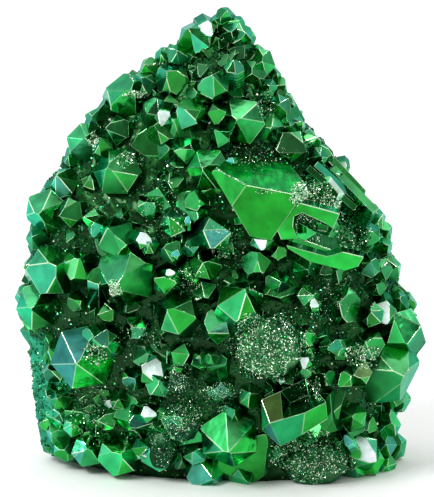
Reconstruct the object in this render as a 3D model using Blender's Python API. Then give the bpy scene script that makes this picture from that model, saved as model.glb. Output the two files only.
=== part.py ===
"""Titanium aura quartz: a standing druse of metal-coated quartz points on its own broken matrix.

The cluster grew as one piece, so it is one solid. A mound carries crystals on its front, top and
sides, and broken rock on its back, and it is cut off flat underneath, where it stands. Lengths are
in millimetres until each mesh is finished, and the finished meshes are in metres.

Front crystals are laid out on a flat front view of the cluster: x runs to the right and h runs up
the view, from the foot of the mound. Each is then pushed back along its sight line on to the mound.
"""
import math
import random

import bmesh
import bpy
from mathutils import Matrix, Vector, noise

MM = 0.001
CLUSTER_NAME = "cluster"
COATING_COLOR = (0.012, 0.35, 0.05, 1.0)
COATING_ROUGHNESS = 0.12
SEED = 8
SOLVER = "EXACT"

# The mound's own frame is moved by this much to bring the middle of its box over the origin.
CLUSTER_SHIFT = Vector((-0.414, 4.875, 0.0))
GROUND_WIDTH = 140.0
GROUND_DEPTH = 40.0

# The base is undercut at its left end: from this x it rises off the ground by this angle.
UNDERCUT_START = -14.0
UNDERCUT_RISE = math.radians(5.5)

# The front view looks down on the cluster by SIGHT_TILT, from SIGHT_LENGTH away.
SIGHT_TILT = math.radians(12.0)
SIGHT_LENGTH = 1000.0
AIM_HEIGHT = 43.45
ACROSS = Vector((1.0, 0.0, 0.0))
UPWARD = Vector((0.0, math.sin(SIGHT_TILT), math.cos(SIGHT_TILT)))
OUTWARD = Vector((0.0, -math.cos(SIGHT_TILT), math.sin(SIGHT_TILT)))
AIM = Vector((0.0, 0.0, AIM_HEIGHT))

# Quartz points end in six faces whose normals lean this far from the long axis.
FACE_LEAN = math.radians(51.8)
POINT_HEIGHT = math.cos(math.radians(30.0)) * math.tan(FACE_LEAN)


# Unevenness of the points, as parts of the radius: height of the shoulder corners and sideways
# place of the tip on small points, and how deep the end faces of large ones cut.
CORNER_RISE = 0.16
TIP_SHIFT = 0.14
LEAST_INSET = 0.01
MOST_INSET = 0.10
MOST_SLANT = 0.96

# Mound sections from the bottom up: height, left edge, right edge, front depth, back depth.
MOUND_SECTIONS = (
    (-10.0, -30.0, 31.0, 14.0, 14.0),
    (0.0, -35.0, 35.5, 17.0, 16.0),
    (10.0, -36.4, 35.0, 20.5, 17.0),
    (20.0, -37.4, 37.5, 23.5, 18.0),
    (30.0, -38.4, 38.6, 24.0, 18.0),
    (40.0, -37.2, 35.0, 23.0, 17.0),
    (50.0, -37.2, 32.0, 21.0, 16.0),
    (60.0, -31.0, 25.0, 18.0, 14.0),
    (70.0, -25.0, 17.0, 14.0, 12.0),
    (78.0, -17.0, 12.0, 10.5, 9.0),
    (85.0, -7.5, 7.0, 7.0, 6.0),
    (90.0, -1.0, 4.0, 1.5, 1.5),
)
MOUND_RINGS = 14
MOUND_SIDES = 22
FRONT_SKEW = 0.2
MOUND_ROUGHNESS = 1.0
BACK_ROUGHNESS = 2.4
ROUGHNESS_SCALE = 0.13
TURN_STEP = 0.02
HEIGHT_STEP = 0.8
SIGHT_STEPS = 14

# Crystals reach ROOT into the mound, and the largest one GIANT_ROOT. Filling crystals: smallest
# and largest radius, stand, and how many places are tried. They keep CROWDING of the sum of both
# radii apart, tilt by about FILLING_TILT, and are rare where the mound faces back.
ROOT = 4.5
GIANT_ROOT = 9.0
FILLING_SIZES = (
    (3.0, 3.8, 1.0, 1500),
    (2.1, 2.9, 0.7, 3000),
)
FILLING_FOOT = 0.5
FILLING_TOP = 84.0
FILLING_TILT = 0.28
CROWDING = 0.98
BACK_LIMIT = 0.45
BACK_SHARE = 0.06

# The lower left corner is bare matrix: below this height, left of this cosine around the mound.
BARE_CORNER_TOP = 26.0
BARE_CORNER_EDGE = -0.72

# Outline of the cluster in the front view: h, left x, right x. Tips of filling crystals show at
# most OUTLINE_SLACK outside it.
OUTLINE_SLACK = 0.6
FRONT_OUTLINE = (
    (0.0, -34.0, 37.0),
    (10.0, -35.6, 36.8),
    (20.0, -37.0, 40.5),
    (30.0, -40.2, 40.4),
    (36.0, -38.8, 37.0),
    (44.0, -38.4, 34.6),
    (50.0, -38.6, 32.6),
    (56.0, -34.0, 28.2),
    (62.0, -30.4, 23.4),
    (68.0, -27.0, 18.0),
    (74.0, -22.0, 15.2),
    (80.0, -15.4, 11.6),
    (84.0, -8.4, 8.4),
    (89.0, -2.0, 4.8),
)

# Large front crystals, with end faces cut one by one: tip x, tip h, lean x, lean h, radius, turn,
# stand, contrast. Lean is how far the tip lies from the middle of its six shoulders in the view,
# turn is the direction of one shoulder corner in degrees, stand is how far the shoulders are off
# the mound, and contrast is how much deeper every second end face cuts, as a part of the radius.
LARGE_CRYSTALS = (
    (-16.7, 74.7, 0.8, 1.4, 4.8, 40, 2.0, 0.08),
    (3.6, 68.2, -1.0, 0.2, 4.9, -8, 2.6, 0.10),
    (-21.8, 58.8, -1.7, 0.9, 5.0, 57, 2.6, 0.04),
    (-35.8, 48.8, -1.7, -0.8, 4.9, 20, 2.2, 0.08),
    (-31.8, 39.2, 0.6, 0.8, 5.6, 0, 2.8, 0.08),
    (-37.0, 30.6, -1.4, -0.4, 5.0, 10, 2.2, 0.06),
    (-21.0, 34.6, -2.3, -1.8, 6.4, 25, 2.6, 0.10),
    (-10.4, 30.8, -1.8, 1.0, 4.6, -15, 2.6, 0.08),
    (5.8, 35.0, 1.0, 2.6, 4.9, 12, 3.2, 0.02),
    (34.8, 30.2, -1.0, 2.8, 4.9, 0, 2.6, 0.06),
    (37.8, 16.8, 3.4, -1.4, 7.6, 5, 2.6, 0.08),
    (-28.0, 20.0, -1.2, -0.8, 6.8, 10, 3.0, 0.02),
    (-19.2, 1.8, 0.2, 0.3, 4.6, 15, 2.6, 0.08),
    (2.2, 1.8, -0.2, -2.5, 6.2, 34, 3.0, 0.04),
)

# The largest crystal of all: tip x, tip h, lean of its axis over its height, how far its tip is off
# the mound, then its planes. Each end plane is (direction in degrees, distance from the tip), and
# each side plane is (direction in degrees, distance from the axis through the tip).
GIANT_TIP = (5.8, 55.0)
GIANT_LEAN = (0.08, 0.28)
GIANT_STAND = 13.0
GIANT_ENDS = ((80, 0.0), (200, 0.0), (260, 0.0), (140, 2.6), (20, 6.1), (320, 6.2))
GIANT_SIDES = ((80, 9.9), (140, 7.5), (200, 5.0), (260, 7.2), (320, 9.6), (20, 12.0))

# Other front crystals: tip x, tip h, lean x, lean h, radius, turn, stand.
FRONT_CRYSTALS = (
    # Crown
    (-6.2, 86.4, -1.7, 1.5, 4.1, 25, 2.4),
    (2.0, 90.0, 0.3, 1.0, 2.2, 10, 1.0),
    (-0.6, 88.4, -0.4, 0.8, 2.1, 40, 1.0),
    (4.8, 88.2, 0.8, 0.7, 2.0, 0, 1.0),
    (5.6, 85.4, 0.9, 0.2, 2.7, 35, 1.4),
    (3.0, 85.8, 0.0, 0.2, 2.3, 15, 1.2),
    (8.8, 79.8, 0.2, 0.2, 3.2, 50, 2.0),
    (9.0, 81.8, 0.8, 0.5, 2.3, 20, 1.2),
    (7.2, 84.8, 0.9, 0.3, 2.0, 0, 1.0),
    (3.4, 80.6, 0.0, 1.9, 2.1, 30, 2.2),
    (7.0, 77.6, 0.0, 0.2, 3.0, 0, 0.6),
    (-10.2, 78.4, -1.0, 1.7, 3.7, -8, 2.0),
    (-1.2, 77.8, -0.4, 2.2, 3.5, -25, 2.0),
    (-15.0, 79.2, -1.2, 0.8, 2.6, 20, 1.6),
    (-11.6, 82.2, -1.0, 1.2, 2.4, 0, 1.2),
    (-8.0, 82.2, -0.2, 0.9, 2.4, 40, 1.4),
    (-15.2, 76.6, -0.6, 1.2, 2.7, 0, 1.4),
    (-4.0, 73.8, 0.2, 0.5, 2.3, 30, 1.0),
    (12.0, 77.8, 1.0, 0.6, 2.3, 10, 1.2),
    (13.9, 75.4, 1.4, 0.5, 2.4, 40, 1.2),
    (10.6, 75.0, 0.4, 0.3, 2.0, 0, 1.2),
    (15.6, 71.8, 1.5, 0.4, 2.6, 0, 1.2),
    (12.6, 71.2, 0.3, 0.5, 2.8, 30, 1.4),
    (9.6, 73.2, 0.0, 0.2, 1.8, 20, 0.8),
    # Upper left
    (-26.0, 64.4, 0.0, 0.7, 4.2, 45, 2.0),
    (-25.4, 68.6, -0.8, 0.8, 2.6, 15, 1.4),
    (-22.8, 71.6, -0.8, 0.8, 2.4, 0, 1.2),
    (-29.6, 61.6, -1.0, 0.6, 2.6, 20, 1.4),
    (-23.4, 64.6, -0.5, 1.5, 2.4, 30, 3.2),
    (-22.4, 66.6, -2.2, 0.5, 3.2, -30, 1.6),
    (-8.4, 71.4, -2.2, 1.5, 3.6, 20, 2.0),
    (-12.6, 67.2, -1.2, 1.0, 3.1, -30, 2.0),
    (-11.6, 73.2, 0.4, 2.2, 2.7, 30, 2.0),
    (-8.8, 62.2, -1.7, 0.1, 3.0, -10, 1.8),
    (-4.4, 54.2, -0.2, 1.7, 2.6, 30, 1.6),
    (-2.6, 58.4, -0.9, 0.1, 4.4, 0, 2.6),
    # Left edge
    (-31.8, 49.4, -2.0, -0.3, 3.2, 45, 2.2),
    (-32.2, 57.2, -1.6, 1.4, 3.4, 10, 2.0),
    (-34.4, 54.6, -1.2, 0.6, 2.6, 0, 1.4),
    (-37.0, 44.6, -1.0, 0.2, 2.5, 0, 2.2),
    (-27.4, 41.0, 0.0, 1.6, 3.7, 0, 2.0),
    (-21.8, 46.4, -1.3, 1.2, 4.1, -22, 2.4),
    (-23.6, 39.6, 0.0, 2.3, 2.6, 90, 2.0),
    (-39.6, 33.8, -1.6, 0.6, 3.0, 10, 1.6),
    # Middle
    (1.8, 70.0, 1.0, 0.4, 2.6, 0, 1.4),
    (-0.6, 66.4, -1.2, 1.4, 2.6, -30, 1.2),
    (-10.0, 49.2, -1.2, 1.2, 3.3, 25, 2.2),
    (-13.8, 43.6, -0.3, 0.3, 2.1, 0, 2.6),
    (-11.0, 42.8, -1.5, 0.6, 2.6, -20, 2.2),
    (-6.8, 43.2, -1.1, 0.3, 2.2, 0, 2.0),
    (-12.8, 37.0, -2.0, 0.5, 3.1, -20, 2.6),
    (3.2, 46.4, 2.6, 0.8, 3.9, -12, 2.6),
    (-2.6, 40.2, -0.4, 0.8, 3.3, -10, 1.8),
    (7.8, 41.8, 0.1, 1.6, 3.1, 0, 1.8),
    (12.2, 43.2, 0.2, 0.9, 2.1, 30, 1.6),
    (18.0, 62.0, 2.5, -0.5, 3.8, 10, 1.6),
    (20.8, 61.0, 0.6, 0.2, 2.2, 0, 1.8),
    (17.4, 67.8, 1.6, 0.7, 2.6, 0, 1.4),
    (20.6, 64.4, 1.8, 0.6, 2.8, 20, 1.2),
    (23.4, 61.6, 1.8, 0.6, 2.7, 0, 1.0),
    (10.6, 66.8, 0.6, 0.4, 3.8, 10, 0.2),
    (14.6, 66.8, 0.4, 0.4, 2.4, 40, 0.8),
    (25.0, 57.6, 1.4, 0.9, 2.6, 30, 1.2),
    (28.2, 54.4, 1.4, 0.9, 2.6, 10, 1.2),
    # Right side
    (33.2, 49.6, 1.5, 0.9, 2.6, 0, 1.2),
    (30.2, 46.4, 0.2, 0.8, 2.9, 30, 1.0),
    (34.4, 46.4, 1.2, 0.4, 2.4, 20, 1.4),
    (34.8, 43.0, 1.4, 0.4, 2.5, 0, 1.4),
    (30.8, 39.8, 0.3, 0.8, 2.4, 40, 1.4),
    (33.0, 38.6, 0.2, 0.2, 2.4, 0, 1.6),
    (36.0, 38.6, 1.6, 0.2, 3.1, 20, 1.4),
    (32.2, 35.4, 0.3, 0.6, 1.9, 0, 1.4),
    (36.4, 32.6, 0.5, 1.0, 2.7, 30, 2.0),
    (39.2, 32.6, 1.2, 0.7, 2.5, 0, 1.4),
    (30.4, 30.0, -0.4, 0.6, 2.6, 20, 2.0),
    (30.0, 24.0, 0.0, 0.5, 3.6, 0, 0.6),
    (24.6, 31.6, 0.0, 0.4, 4.4, 15, 0.0),
    (19.4, 33.4, 1.0, 0.3, 2.4, 0, 1.6),
    (27.0, 17.0, -0.8, -0.6, 3.2, 0, 1.4),
    (22.0, 23.2, 0.0, 0.2, 1.7, 30, 1.4),
    (24.8, 22.0, 0.2, 0.2, 1.7, 0, 1.6),
    (21.6, 17.4, 0.2, 0.4, 2.3, 10, 1.4),
    (17.6, 25.4, 0.0, 0.4, 2.3, 0, 1.8),
    (17.2, 18.6, 0.0, 0.4, 1.9, 30, 1.4),
    (26.8, 9.2, -0.4, 0.3, 2.8, 20, 1.8),
    (25.4, 4.2, 0.2, 0.2, 2.0, 0, 1.8),
    (30.2, 1.2, 0.1, 0.8, 3.4, 60, 2.0),
    (37.6, 11.6, 1.0, -0.4, 2.6, 0, 1.4),
    (35.0, 7.6, 1.2, 0.2, 3.5, 0, 1.6),
    (36.6, 3.0, 1.2, 0.0, 3.1, 20, 1.2),
    (33.8, -0.8, 0.6, 0.0, 3.0, 10, 1.4),
    (27.6, -1.4, 0.2, -0.2, 2.8, 30, 1.6),
    (33.6, 3.6, 0.3, 0.2, 2.8, 0, 1.4),
    # Lower left
    (-21.8, 22.4, 0.2, -0.8, 3.2, 90, 3.8),
    (-24.4, 25.4, 0.2, 0.5, 2.6, 30, 2.2),
    (-17.6, 27.0, -1.0, 0.3, 2.5, 0, 1.6),
    (-13.6, 22.0, 0.2, 0.8, 3.2, 20, 0.4),
    (-11.8, 16.4, -0.2, 0.6, 3.0, 50, 2.4),
    (-9.4, 21.8, -1.4, 0.4, 2.6, 0, 1.8),
    (-8.6, 18.8, -0.2, 0.2, 1.6, 0, 1.8),
    (-2.4, 25.6, -1.6, -1.0, 3.6, 40, 2.2),
    (-1.2, 21.2, 0.0, 0.2, 1.8, 0, 1.8),
    (-3.4, 21.2, 0.0, 0.2, 1.6, 30, 1.4),
    (-19.6, 12.8, 0.0, 0.4, 2.3, 0, 1.4),
    (-28.8, 7.6, -0.2, 0.4, 2.3, 20, 2.0),
    (-31.8, 12.8, -0.6, 0.4, 2.3, 0, 2.0),
    (-31.4, 9.8, -0.4, 0.0, 2.0, 40, 1.8),
    (-25.8, 2.6, 0.0, 0.4, 3.4, 10, 2.0),
    (-13.8, 3.2, 0.8, 0.6, 2.4, 0, 1.8),
    (-11.0, 2.2, 0.4, 0.2, 4.1, 30, 1.8),
    (-6.6, 8.8, 0.2, 0.4, 4.4, 0, 2.2),
    (-4.8, 2.2, -0.4, 0.4, 2.6, 20, 1.8),
    (-1.0, -4.2, 1.0, -1.4, 4.0, 10, 2.2),
    (3.4, 10.6, 0.2, 0.6, 3.2, 0, 0.8),
    (0.6, 16.0, 0.0, 0.5, 3.4, 20, 0.4),
    (7.0, 13.4, 0.2, 0.4, 2.6, 30, 0.8),
    (-34.2, 18.4, -1.4, 0.2, 2.8, 0, 0.8),
    (-33.8, 22.6, -1.4, 0.4, 2.6, 20, 0.8),
    (-34.2, 13.6, -1.4, 0.0, 2.6, 40, 0.8),
    (-33.2, 5.6, -1.2, 0.0, 2.6, 0, 1.2),
    (-30.6, 2.6, -0.4, 0.0, 2.8, 30, 1.2),
)

# Blunt druse-covered points: middle x, middle h, radius, turn, stand, part of the point left.
BLUNT_CRYSTALS = (
    (10.2, 23.0, 6.2, 0, 3.0, 0.30),
    (19.4, -0.8, 6.4, 15, 3.0, 0.35),
    (21.0, 52.6, 4.6, 10, 1.6, 0.20),
)

# Crystals hollowed by skeletal growth: middle x and h of the flat end, lean x, lean h, radius, turn,
# stand, length of the flat end over its width, and the direction of that length in degrees.
HOLLOW_CRYSTALS = (
    (18.2, 47.0, 0.4, 1.0, 4.5, -16, 5.0, 1.42, -16.0),
    (14.6, 11.6, -0.8, 3.2, 5.0, 20, 5.6, 1.36, 20.0),
)
# Rings of a hollow crystal from its rim inwards: part of the radius, height over the radius.
HOLLOW_RINGS = ((1.0, -0.30), (0.82, 0.0), (0.60, -0.04), (0.48, -0.50))

# Long prisms that lie along the surface: end x, end h, other end x, other end h, radius.
LYING_CRYSTALS = (
    (14.4, 45.2, 29.6, 39.8, 2.7),
    (17.8, 57.2, 30.2, 48.0, 1.7),
    (20.4, 57.8, 31.0, 49.4, 1.5),
    (21.4, 60.8, 29.4, 52.2, 1.8),
)


def profile(height, column):
    """Value of one column of the mound sections at a height, straight between sections."""
    below = MOUND_SECTIONS[0]
    for above in MOUND_SECTIONS[1:]:
        if height <= above[0]:
            part = max(0.0, (height - below[0]) / (above[0] - below[0]))
            return below[column] + (above[column] - below[column]) * part
        below = above
    return below[column]


def mound_point(turn, height):
    """Point of the smooth mound: turn goes once around it, with the front at minus 90 degrees."""
    left, right, front, back = (profile(height, column) for column in (1, 2, 3, 4))
    x = 0.5 * (left + right) + 0.5 * (right - left) * math.cos(turn)
    if math.sin(turn) < 0.0:
        y = front * math.sin(turn) * (1.0 + FRONT_SKEW * math.cos(turn))
    else:
        y = back * math.sin(turn)
    return Vector((x, y, height))


def mound_normal(turn, height):
    """Direction square to the smooth mound."""
    along = mound_point(turn + TURN_STEP, height) - mound_point(turn - TURN_STEP, height)
    up = mound_point(turn, height + HEIGHT_STEP) - mound_point(turn, height - HEIGHT_STEP)
    return along.cross(up).normalized()


def mound_depth(x, height):
    """How far the smooth mound reaches forward at x, nothing beyond its edges."""
    left, right = profile(height, 1), profile(height, 2)
    across = min(1.0, max(-1.0, (2.0 * x - left - right) / (right - left)))
    return -mound_point(-math.acos(across), height).y


def on_sight_line(x, h, y):
    """Point at depth y on the sight line through (x, h) of the front view."""
    eye = AIM + OUTWARD * SIGHT_LENGTH
    seen = AIM + ACROSS * x + UPWARD * (h - AIM_HEIGHT * math.cos(SIGHT_TILT))
    return eye + (seen - eye) * ((y - eye.y) / (seen.y - eye.y))


def on_mound(x, h):
    """Point of the smooth mound that shows at (x, h) in the front view."""
    y = 0.0
    for _ in range(SIGHT_STEPS):
        point = on_sight_line(x, h, y)
        y = 0.5 * (y - mound_depth(point.x, point.z))
    return on_sight_line(x, h, y)


def cut_face(bm, point, normal):
    """Cut a closed mesh by a plane and close it again with one flat face."""
    whole = bm.verts[:] + bm.edges[:] + bm.faces[:]
    cut = bmesh.ops.bisect_plane(bm, geom=whole, plane_co=point, plane_no=normal, clear_outer=True)
    rim = [item for item in cut["geom_cut"] if isinstance(item, bmesh.types.BMEdge)]
    if rim:
        bmesh.ops.contextual_create(bm, geom=rim)


def prism_mesh(radius, length, top):
    """Six-sided prism that runs down -Z from the given top height."""
    bm = bmesh.new()
    bmesh.ops.create_cone(
        bm, cap_ends=True, segments=6, radius1=radius, radius2=radius, depth=length,
        matrix=Matrix.Translation((0.0, 0.0, top - 0.5 * length)),
    )
    return bm


def point_mesh(radius, length, chance):
    """Six-sided quartz point with its tip at the origin and its prism running down -Z.

    The tip is a little off the middle and the shoulder corners are at uneven heights.
    """
    height = POINT_HEIGHT * radius
    bm = prism_mesh(radius, length - height, -height)
    cap = max(bm.faces, key=lambda face: face.calc_center_median().z)
    for corner in cap.verts:
        corner.co.z += radius * chance.uniform(-CORNER_RISE, CORNER_RISE)
    tip = bmesh.ops.poke(bm, faces=[cap])["verts"][0]
    shift = TIP_SHIFT * radius
    tip.co = Vector((chance.uniform(-shift, shift), chance.uniform(-shift, shift), 0.0))
    return bm


def end_normal(degrees):
    """Direction square to an end face of a point whose long axis is local Z."""
    turn = math.radians(degrees)
    across = math.sin(FACE_LEAN)
    return Vector((across * math.cos(turn), across * math.sin(turn), math.cos(FACE_LEAN)))


def grown_point_mesh(radius, length, chance, contrast, kept=1.0):
    """Large quartz point, tip at the origin, with unlike end faces as they grow in nature.

    kept is the part of the pointed end that is left: below 1, a flat face cuts off the tip.
    """
    bm = prism_mesh(radius, length, 0.0)
    for side in range(6):
        inset = radius * (contrast * (side % 2) + chance.uniform(LEAST_INSET, MOST_INSET))
        normal = end_normal(60.0 * side)
        cut_face(bm, -normal * inset, normal)
    if kept < 1.0:
        cut_face(bm, Vector((0.0, 0.0, -POINT_HEIGHT * radius * (1.0 - kept))), Vector((0.0, 0.0, 1.0)))
    return bm


def giant_mesh(length):
    """The largest crystal, cut from a block plane by plane, tip at the origin."""
    bm = bmesh.new()
    bmesh.ops.create_cube(bm, size=2.0 * length)
    cut_face(bm, Vector((0.0, 0.0, -length)), Vector((0.0, 0.0, -1.0)))
    for degrees, distance in GIANT_SIDES:
        turn = math.radians(degrees)
        normal = Vector((math.cos(turn), math.sin(turn), 0.0))
        cut_face(bm, normal * distance, normal)
    for degrees, distance in GIANT_ENDS:
        normal = end_normal(degrees)
        cut_face(bm, normal * distance, normal)
    return bm


def ring_mesh(rings):
    """Six-sided closed mesh through rings of (radius, height), from its foot to its last ring."""
    bm = bmesh.new()
    before = None
    for radius, height in rings:
        ring = []
        for side in range(6):
            turn = math.radians(60.0 * side + 30.0)
            ring.append(bm.verts.new((radius * math.cos(turn), radius * math.sin(turn), height)))
        if before is None:
            bm.faces.new(ring[::-1])
        else:
            for side in range(6):
                following = (side + 1) % 6
                bm.faces.new((before[side], before[following], ring[following], ring[side]))
        before = ring
    bm.faces.new(before)
    return bm


def frame_along(axis, corner, place):
    """Matrix that turns local Z to the axis and local Y to the corner direction."""
    corner = (corner - axis * corner.dot(axis)).normalized()
    side = corner.cross(axis)
    turn = Matrix((side, corner, axis)).transposed().to_4x4()
    return Matrix.Translation(place) @ turn


def view_direction(degrees):
    """Direction in the plane of the front view."""
    angle = math.radians(degrees)
    return ACROSS * math.cos(angle) + UPWARD * math.sin(angle)


def corner_direction(degrees, axis):
    """Direction square to the axis that shows at this angle in the front view."""
    flat = view_direction(degrees)
    return flat - OUTWARD * (flat.dot(axis) / OUTWARD.dot(axis))


def add_object(name, bm, collection):
    """Object from a mesh in millimetres, with flat faces that point outwards."""
    bmesh.ops.recalc_face_normals(bm, faces=bm.faces[:])
    if bm.calc_volume(signed=True) < 0.0:
        bmesh.ops.reverse_faces(bm, faces=bm.faces[:])
    bm.transform(Matrix.Scale(MM, 4))
    mesh = bpy.data.meshes.new(name)
    bm.to_mesh(mesh)
    bm.free()
    piece = bpy.data.objects.new(name, mesh)
    collection.objects.link(piece)
    return piece


def tilted_axis(lean_x, lean_h, height):
    """Axis of a point whose tip lies this far from its shoulders' middle in the front view."""
    slant = min(MOST_SLANT, math.hypot(lean_x, lean_h) / height)
    across = (ACROSS * lean_x + UPWARD * lean_h).normalized() * slant
    return across + OUTWARD * math.sqrt(1.0 - slant * slant)


def stand_on_mound(x, h, radius, turn, stand, chance, lean=(0.0, 0.0), contrast=None, kept=1.0):
    """One crystal whose shoulders' middle shows at (x, h), and that middle.

    A crystal with a contrast has its end faces cut one by one.
    """
    height = POINT_HEIGHT * radius
    axis = tilted_axis(lean[0], lean[1], height)
    middle = on_mound(x, h) + OUTWARD * stand
    if contrast is None:
        bm = point_mesh(radius, height + stand + ROOT, chance)
    else:
        bm = grown_point_mesh(radius, height + stand + ROOT, chance, contrast, kept)
    bm.transform(frame_along(axis, corner_direction(turn, axis), middle + axis * height))
    return bm, middle


def giant_point():
    """The largest crystal in its place, and the middle of its foot."""
    axis = tilted_axis(GIANT_LEAN[0], GIANT_LEAN[1], 1.0)
    tip = on_mound(*GIANT_TIP) + OUTWARD * GIANT_STAND
    bm = giant_mesh(GIANT_STAND + GIANT_ROOT)
    bm.transform(frame_along(axis, corner_direction(90.0, axis), tip))
    return bm, tip - axis * GIANT_STAND


def hollow_point(x, h, lean, radius, turn, stand, stretch, direction):
    """Crystal with a flat end stretched along one direction, and a six-sided hollow in that end."""
    axis = tilted_axis(lean[0], lean[1], POINT_HEIGHT * radius)
    rings = [(1.0, -(stand + ROOT) / radius)]
    rings.extend(HOLLOW_RINGS)
    bm = ring_mesh([(part * radius, height * radius) for part, height in rings])
    bm.transform(frame_along(axis, corner_direction(turn, axis), Vector()))
    bm.transform(Matrix.Scale(stretch, 4, view_direction(direction)))
    place = on_mound(x, h) + OUTWARD * stand
    bm.transform(Matrix.Translation(place))
    return bm, place


def lying_prism(x, h, far_x, far_h, radius, chance):
    """Long crystal that lies half sunk in the surface, with its point at the far end."""
    start, end = on_mound(x, h), on_mound(far_x, far_h)
    axis = (end - start).normalized()
    bm = point_mesh(radius, (end - start).length, chance)
    bm.transform(frame_along(axis, OUTWARD, end))
    return bm, (start + end) * 0.5


def placed_points(chance):
    """All hand-placed crystals as (mesh, middle of the shoulders, radius)."""
    points = []
    for x, h, lean_x, lean_h, radius, turn, stand, contrast in LARGE_CRYSTALS:
        bm, middle = stand_on_mound(
            x - lean_x, h - lean_h, radius, turn, stand, chance, (lean_x, lean_h), contrast)
        points.append((bm, middle, radius))
    bm, middle = giant_point()
    points.append((bm, middle, GIANT_SIDES[0][1]))
    for x, h, lean_x, lean_h, radius, turn, stand in FRONT_CRYSTALS:
        lean = (lean_x, lean_h)
        bm, middle = stand_on_mound(x - lean_x, h - lean_h, radius, turn, stand, chance, lean)
        points.append((bm, middle, radius))
    for x, h, radius, turn, stand, kept in BLUNT_CRYSTALS:
        bm, middle = stand_on_mound(x, h, radius, turn, stand, chance, contrast=0.0, kept=kept)
        points.append((bm, middle, radius))
    for x, h, lean_x, lean_h, radius, turn, stand, stretch, direction in HOLLOW_CRYSTALS:
        bm, middle = hollow_point(x, h, (lean_x, lean_h), radius, turn, stand, stretch, direction)
        points.append((bm, middle, radius * stretch))
    for x, h, far_x, far_h, radius in LYING_CRYSTALS:
        bm, middle = lying_prism(x, h, far_x, far_h, radius, chance)
        points.append((bm, middle, 2.0 * radius))
    return points


def mound_mesh():
    """Mound under the crystals: a sphere's rings pulled to the sections, rougher on the back."""
    bm = bmesh.new()
    bmesh.ops.create_uvsphere(bm, u_segments=MOUND_SIDES, v_segments=MOUND_RINGS, radius=1.0)
    foot, top = MOUND_SECTIONS[0][0], MOUND_SECTIONS[-1][0]
    for vert in bm.verts:
        rise = 1.0 - math.acos(max(-1.0, min(1.0, vert.co.z))) / math.pi
        turn = math.atan2(vert.co.y, vert.co.x)
        at_pole = math.hypot(vert.co.x, vert.co.y) < 1e-4
        smooth = mound_point(turn, foot + (top - foot) * rise)
        if at_pole:
            smooth.x, smooth.y = 0.0, 0.0
        back = max(0.0, math.sin(turn))
        rough = MOUND_ROUGHNESS + (BACK_ROUGHNESS - MOUND_ROUGHNESS) * back
        swell = noise.fractal(smooth * ROUGHNESS_SCALE, 1.0, 2.0, 3)
        flat = Vector((math.cos(turn), math.sin(turn), 0.0))
        vert.co = smooth + flat * rough * swell
    bmesh.ops.triangulate(bm, faces=bm.faces[:])
    return bm


def beyond_outline(point):
    """Whether a point shows outside the outline in the front view."""
    offset = point - AIM
    nearer = SIGHT_LENGTH / (SIGHT_LENGTH - offset.dot(OUTWARD))
    x = offset.dot(ACROSS) * nearer
    h = offset.dot(UPWARD) * nearer + AIM_HEIGHT * math.cos(SIGHT_TILT)
    below = FRONT_OUTLINE[0]
    for above in FRONT_OUTLINE[1:]:
        if h <= above[0]:
            part = max(0.0, (h - below[0]) / (above[0] - below[0]))
            left = below[1] + (above[1] - below[1]) * part
            right = below[2] + (above[2] - below[2]) * part
            return not left - OUTLINE_SLACK < x < right + OUTLINE_SLACK
        below = above
    return True


def filling_points(placed, chance):
    """Smaller crystals in the gaps between the placed ones, and over the sides and the top.

    The middle of the back is broken rock with few crystals.
    """
    taken = [(middle, radius) for _, middle, radius in placed]
    points = []
    for smallest, largest, stand, tries in FILLING_SIZES:
        for _ in range(tries):
            turn = chance.uniform(-math.pi, math.pi)
            height = chance.uniform(FILLING_FOOT, FILLING_TOP)
            radius = chance.uniform(smallest, largest)
            tilt = Vector([chance.gauss(0.0, FILLING_TILT) for _ in range(3)])
            corner = Vector([chance.uniform(-1.0, 1.0) for _ in range(3)])
            lucky = chance.random()
            spot = mound_point(turn, height)
            normal = mound_normal(turn, height)
            if normal.y > BACK_LIMIT and lucky > BACK_SHARE:
                continue
            if height < BARE_CORNER_TOP and math.cos(turn) < BARE_CORNER_EDGE:
                continue
            if any((spot - other).length < CROWDING * (radius + size) for other, size in taken):
                continue
            axis = (normal + tilt).normalized()
            tall = POINT_HEIGHT * radius
            if beyond_outline(spot + axis * (stand + tall)):
                continue
            bm = point_mesh(radius, tall + stand + ROOT, chance)
            middle = spot + axis * stand
            bm.transform(frame_along(axis, corner, middle + axis * tall))
            points.append((bm, middle, radius))
            taken.append((spot, radius))
    return points


def keep_outer_shell(mesh):
    """Fill the gaps sealed between crystals: delete every closed shell but the largest."""
    bm = bmesh.new()
    bm.from_mesh(mesh)
    left = set(bm.verts)
    shells = []
    while left:
        shell = [left.pop()]
        for vert in shell:
            for edge in vert.link_edges:
                other = edge.other_vert(vert)
                if other in left:
                    left.remove(other)
                    shell.append(other)
        shells.append(shell)
    shells.sort(key=len)
    inner = [vert for shell in shells[:-1] for vert in shell]
    bmesh.ops.delete(bm, geom=inner, context="VERTS")
    bm.to_mesh(mesh)
    bm.free()


def clear_scene():
    """Remove every object of the starting scene."""
    for item in list(bpy.data.objects):
        bpy.data.objects.remove(item, do_unlink=True)


def new_collection(name):
    """Collection linked to the scene."""
    collection = bpy.data.collections.new(name)
    bpy.context.scene.collection.children.link(collection)
    return collection


def coating_material():
    """Green metal coating of the points."""
    material = bpy.data.materials.new("aura_coating")
    material.use_nodes = True
    shader = material.node_tree.nodes["Principled BSDF"]
    shader.inputs["Base Color"].default_value = COATING_COLOR
    shader.inputs["Metallic"].default_value = 1.0
    shader.inputs["Roughness"].default_value = COATING_ROUGHNESS
    return material


def hide_as_cutter(piece):
    """Leave a tool shape out of the finished model."""
    piece.hide_render = True
    piece.display_type = "WIRE"


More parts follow.
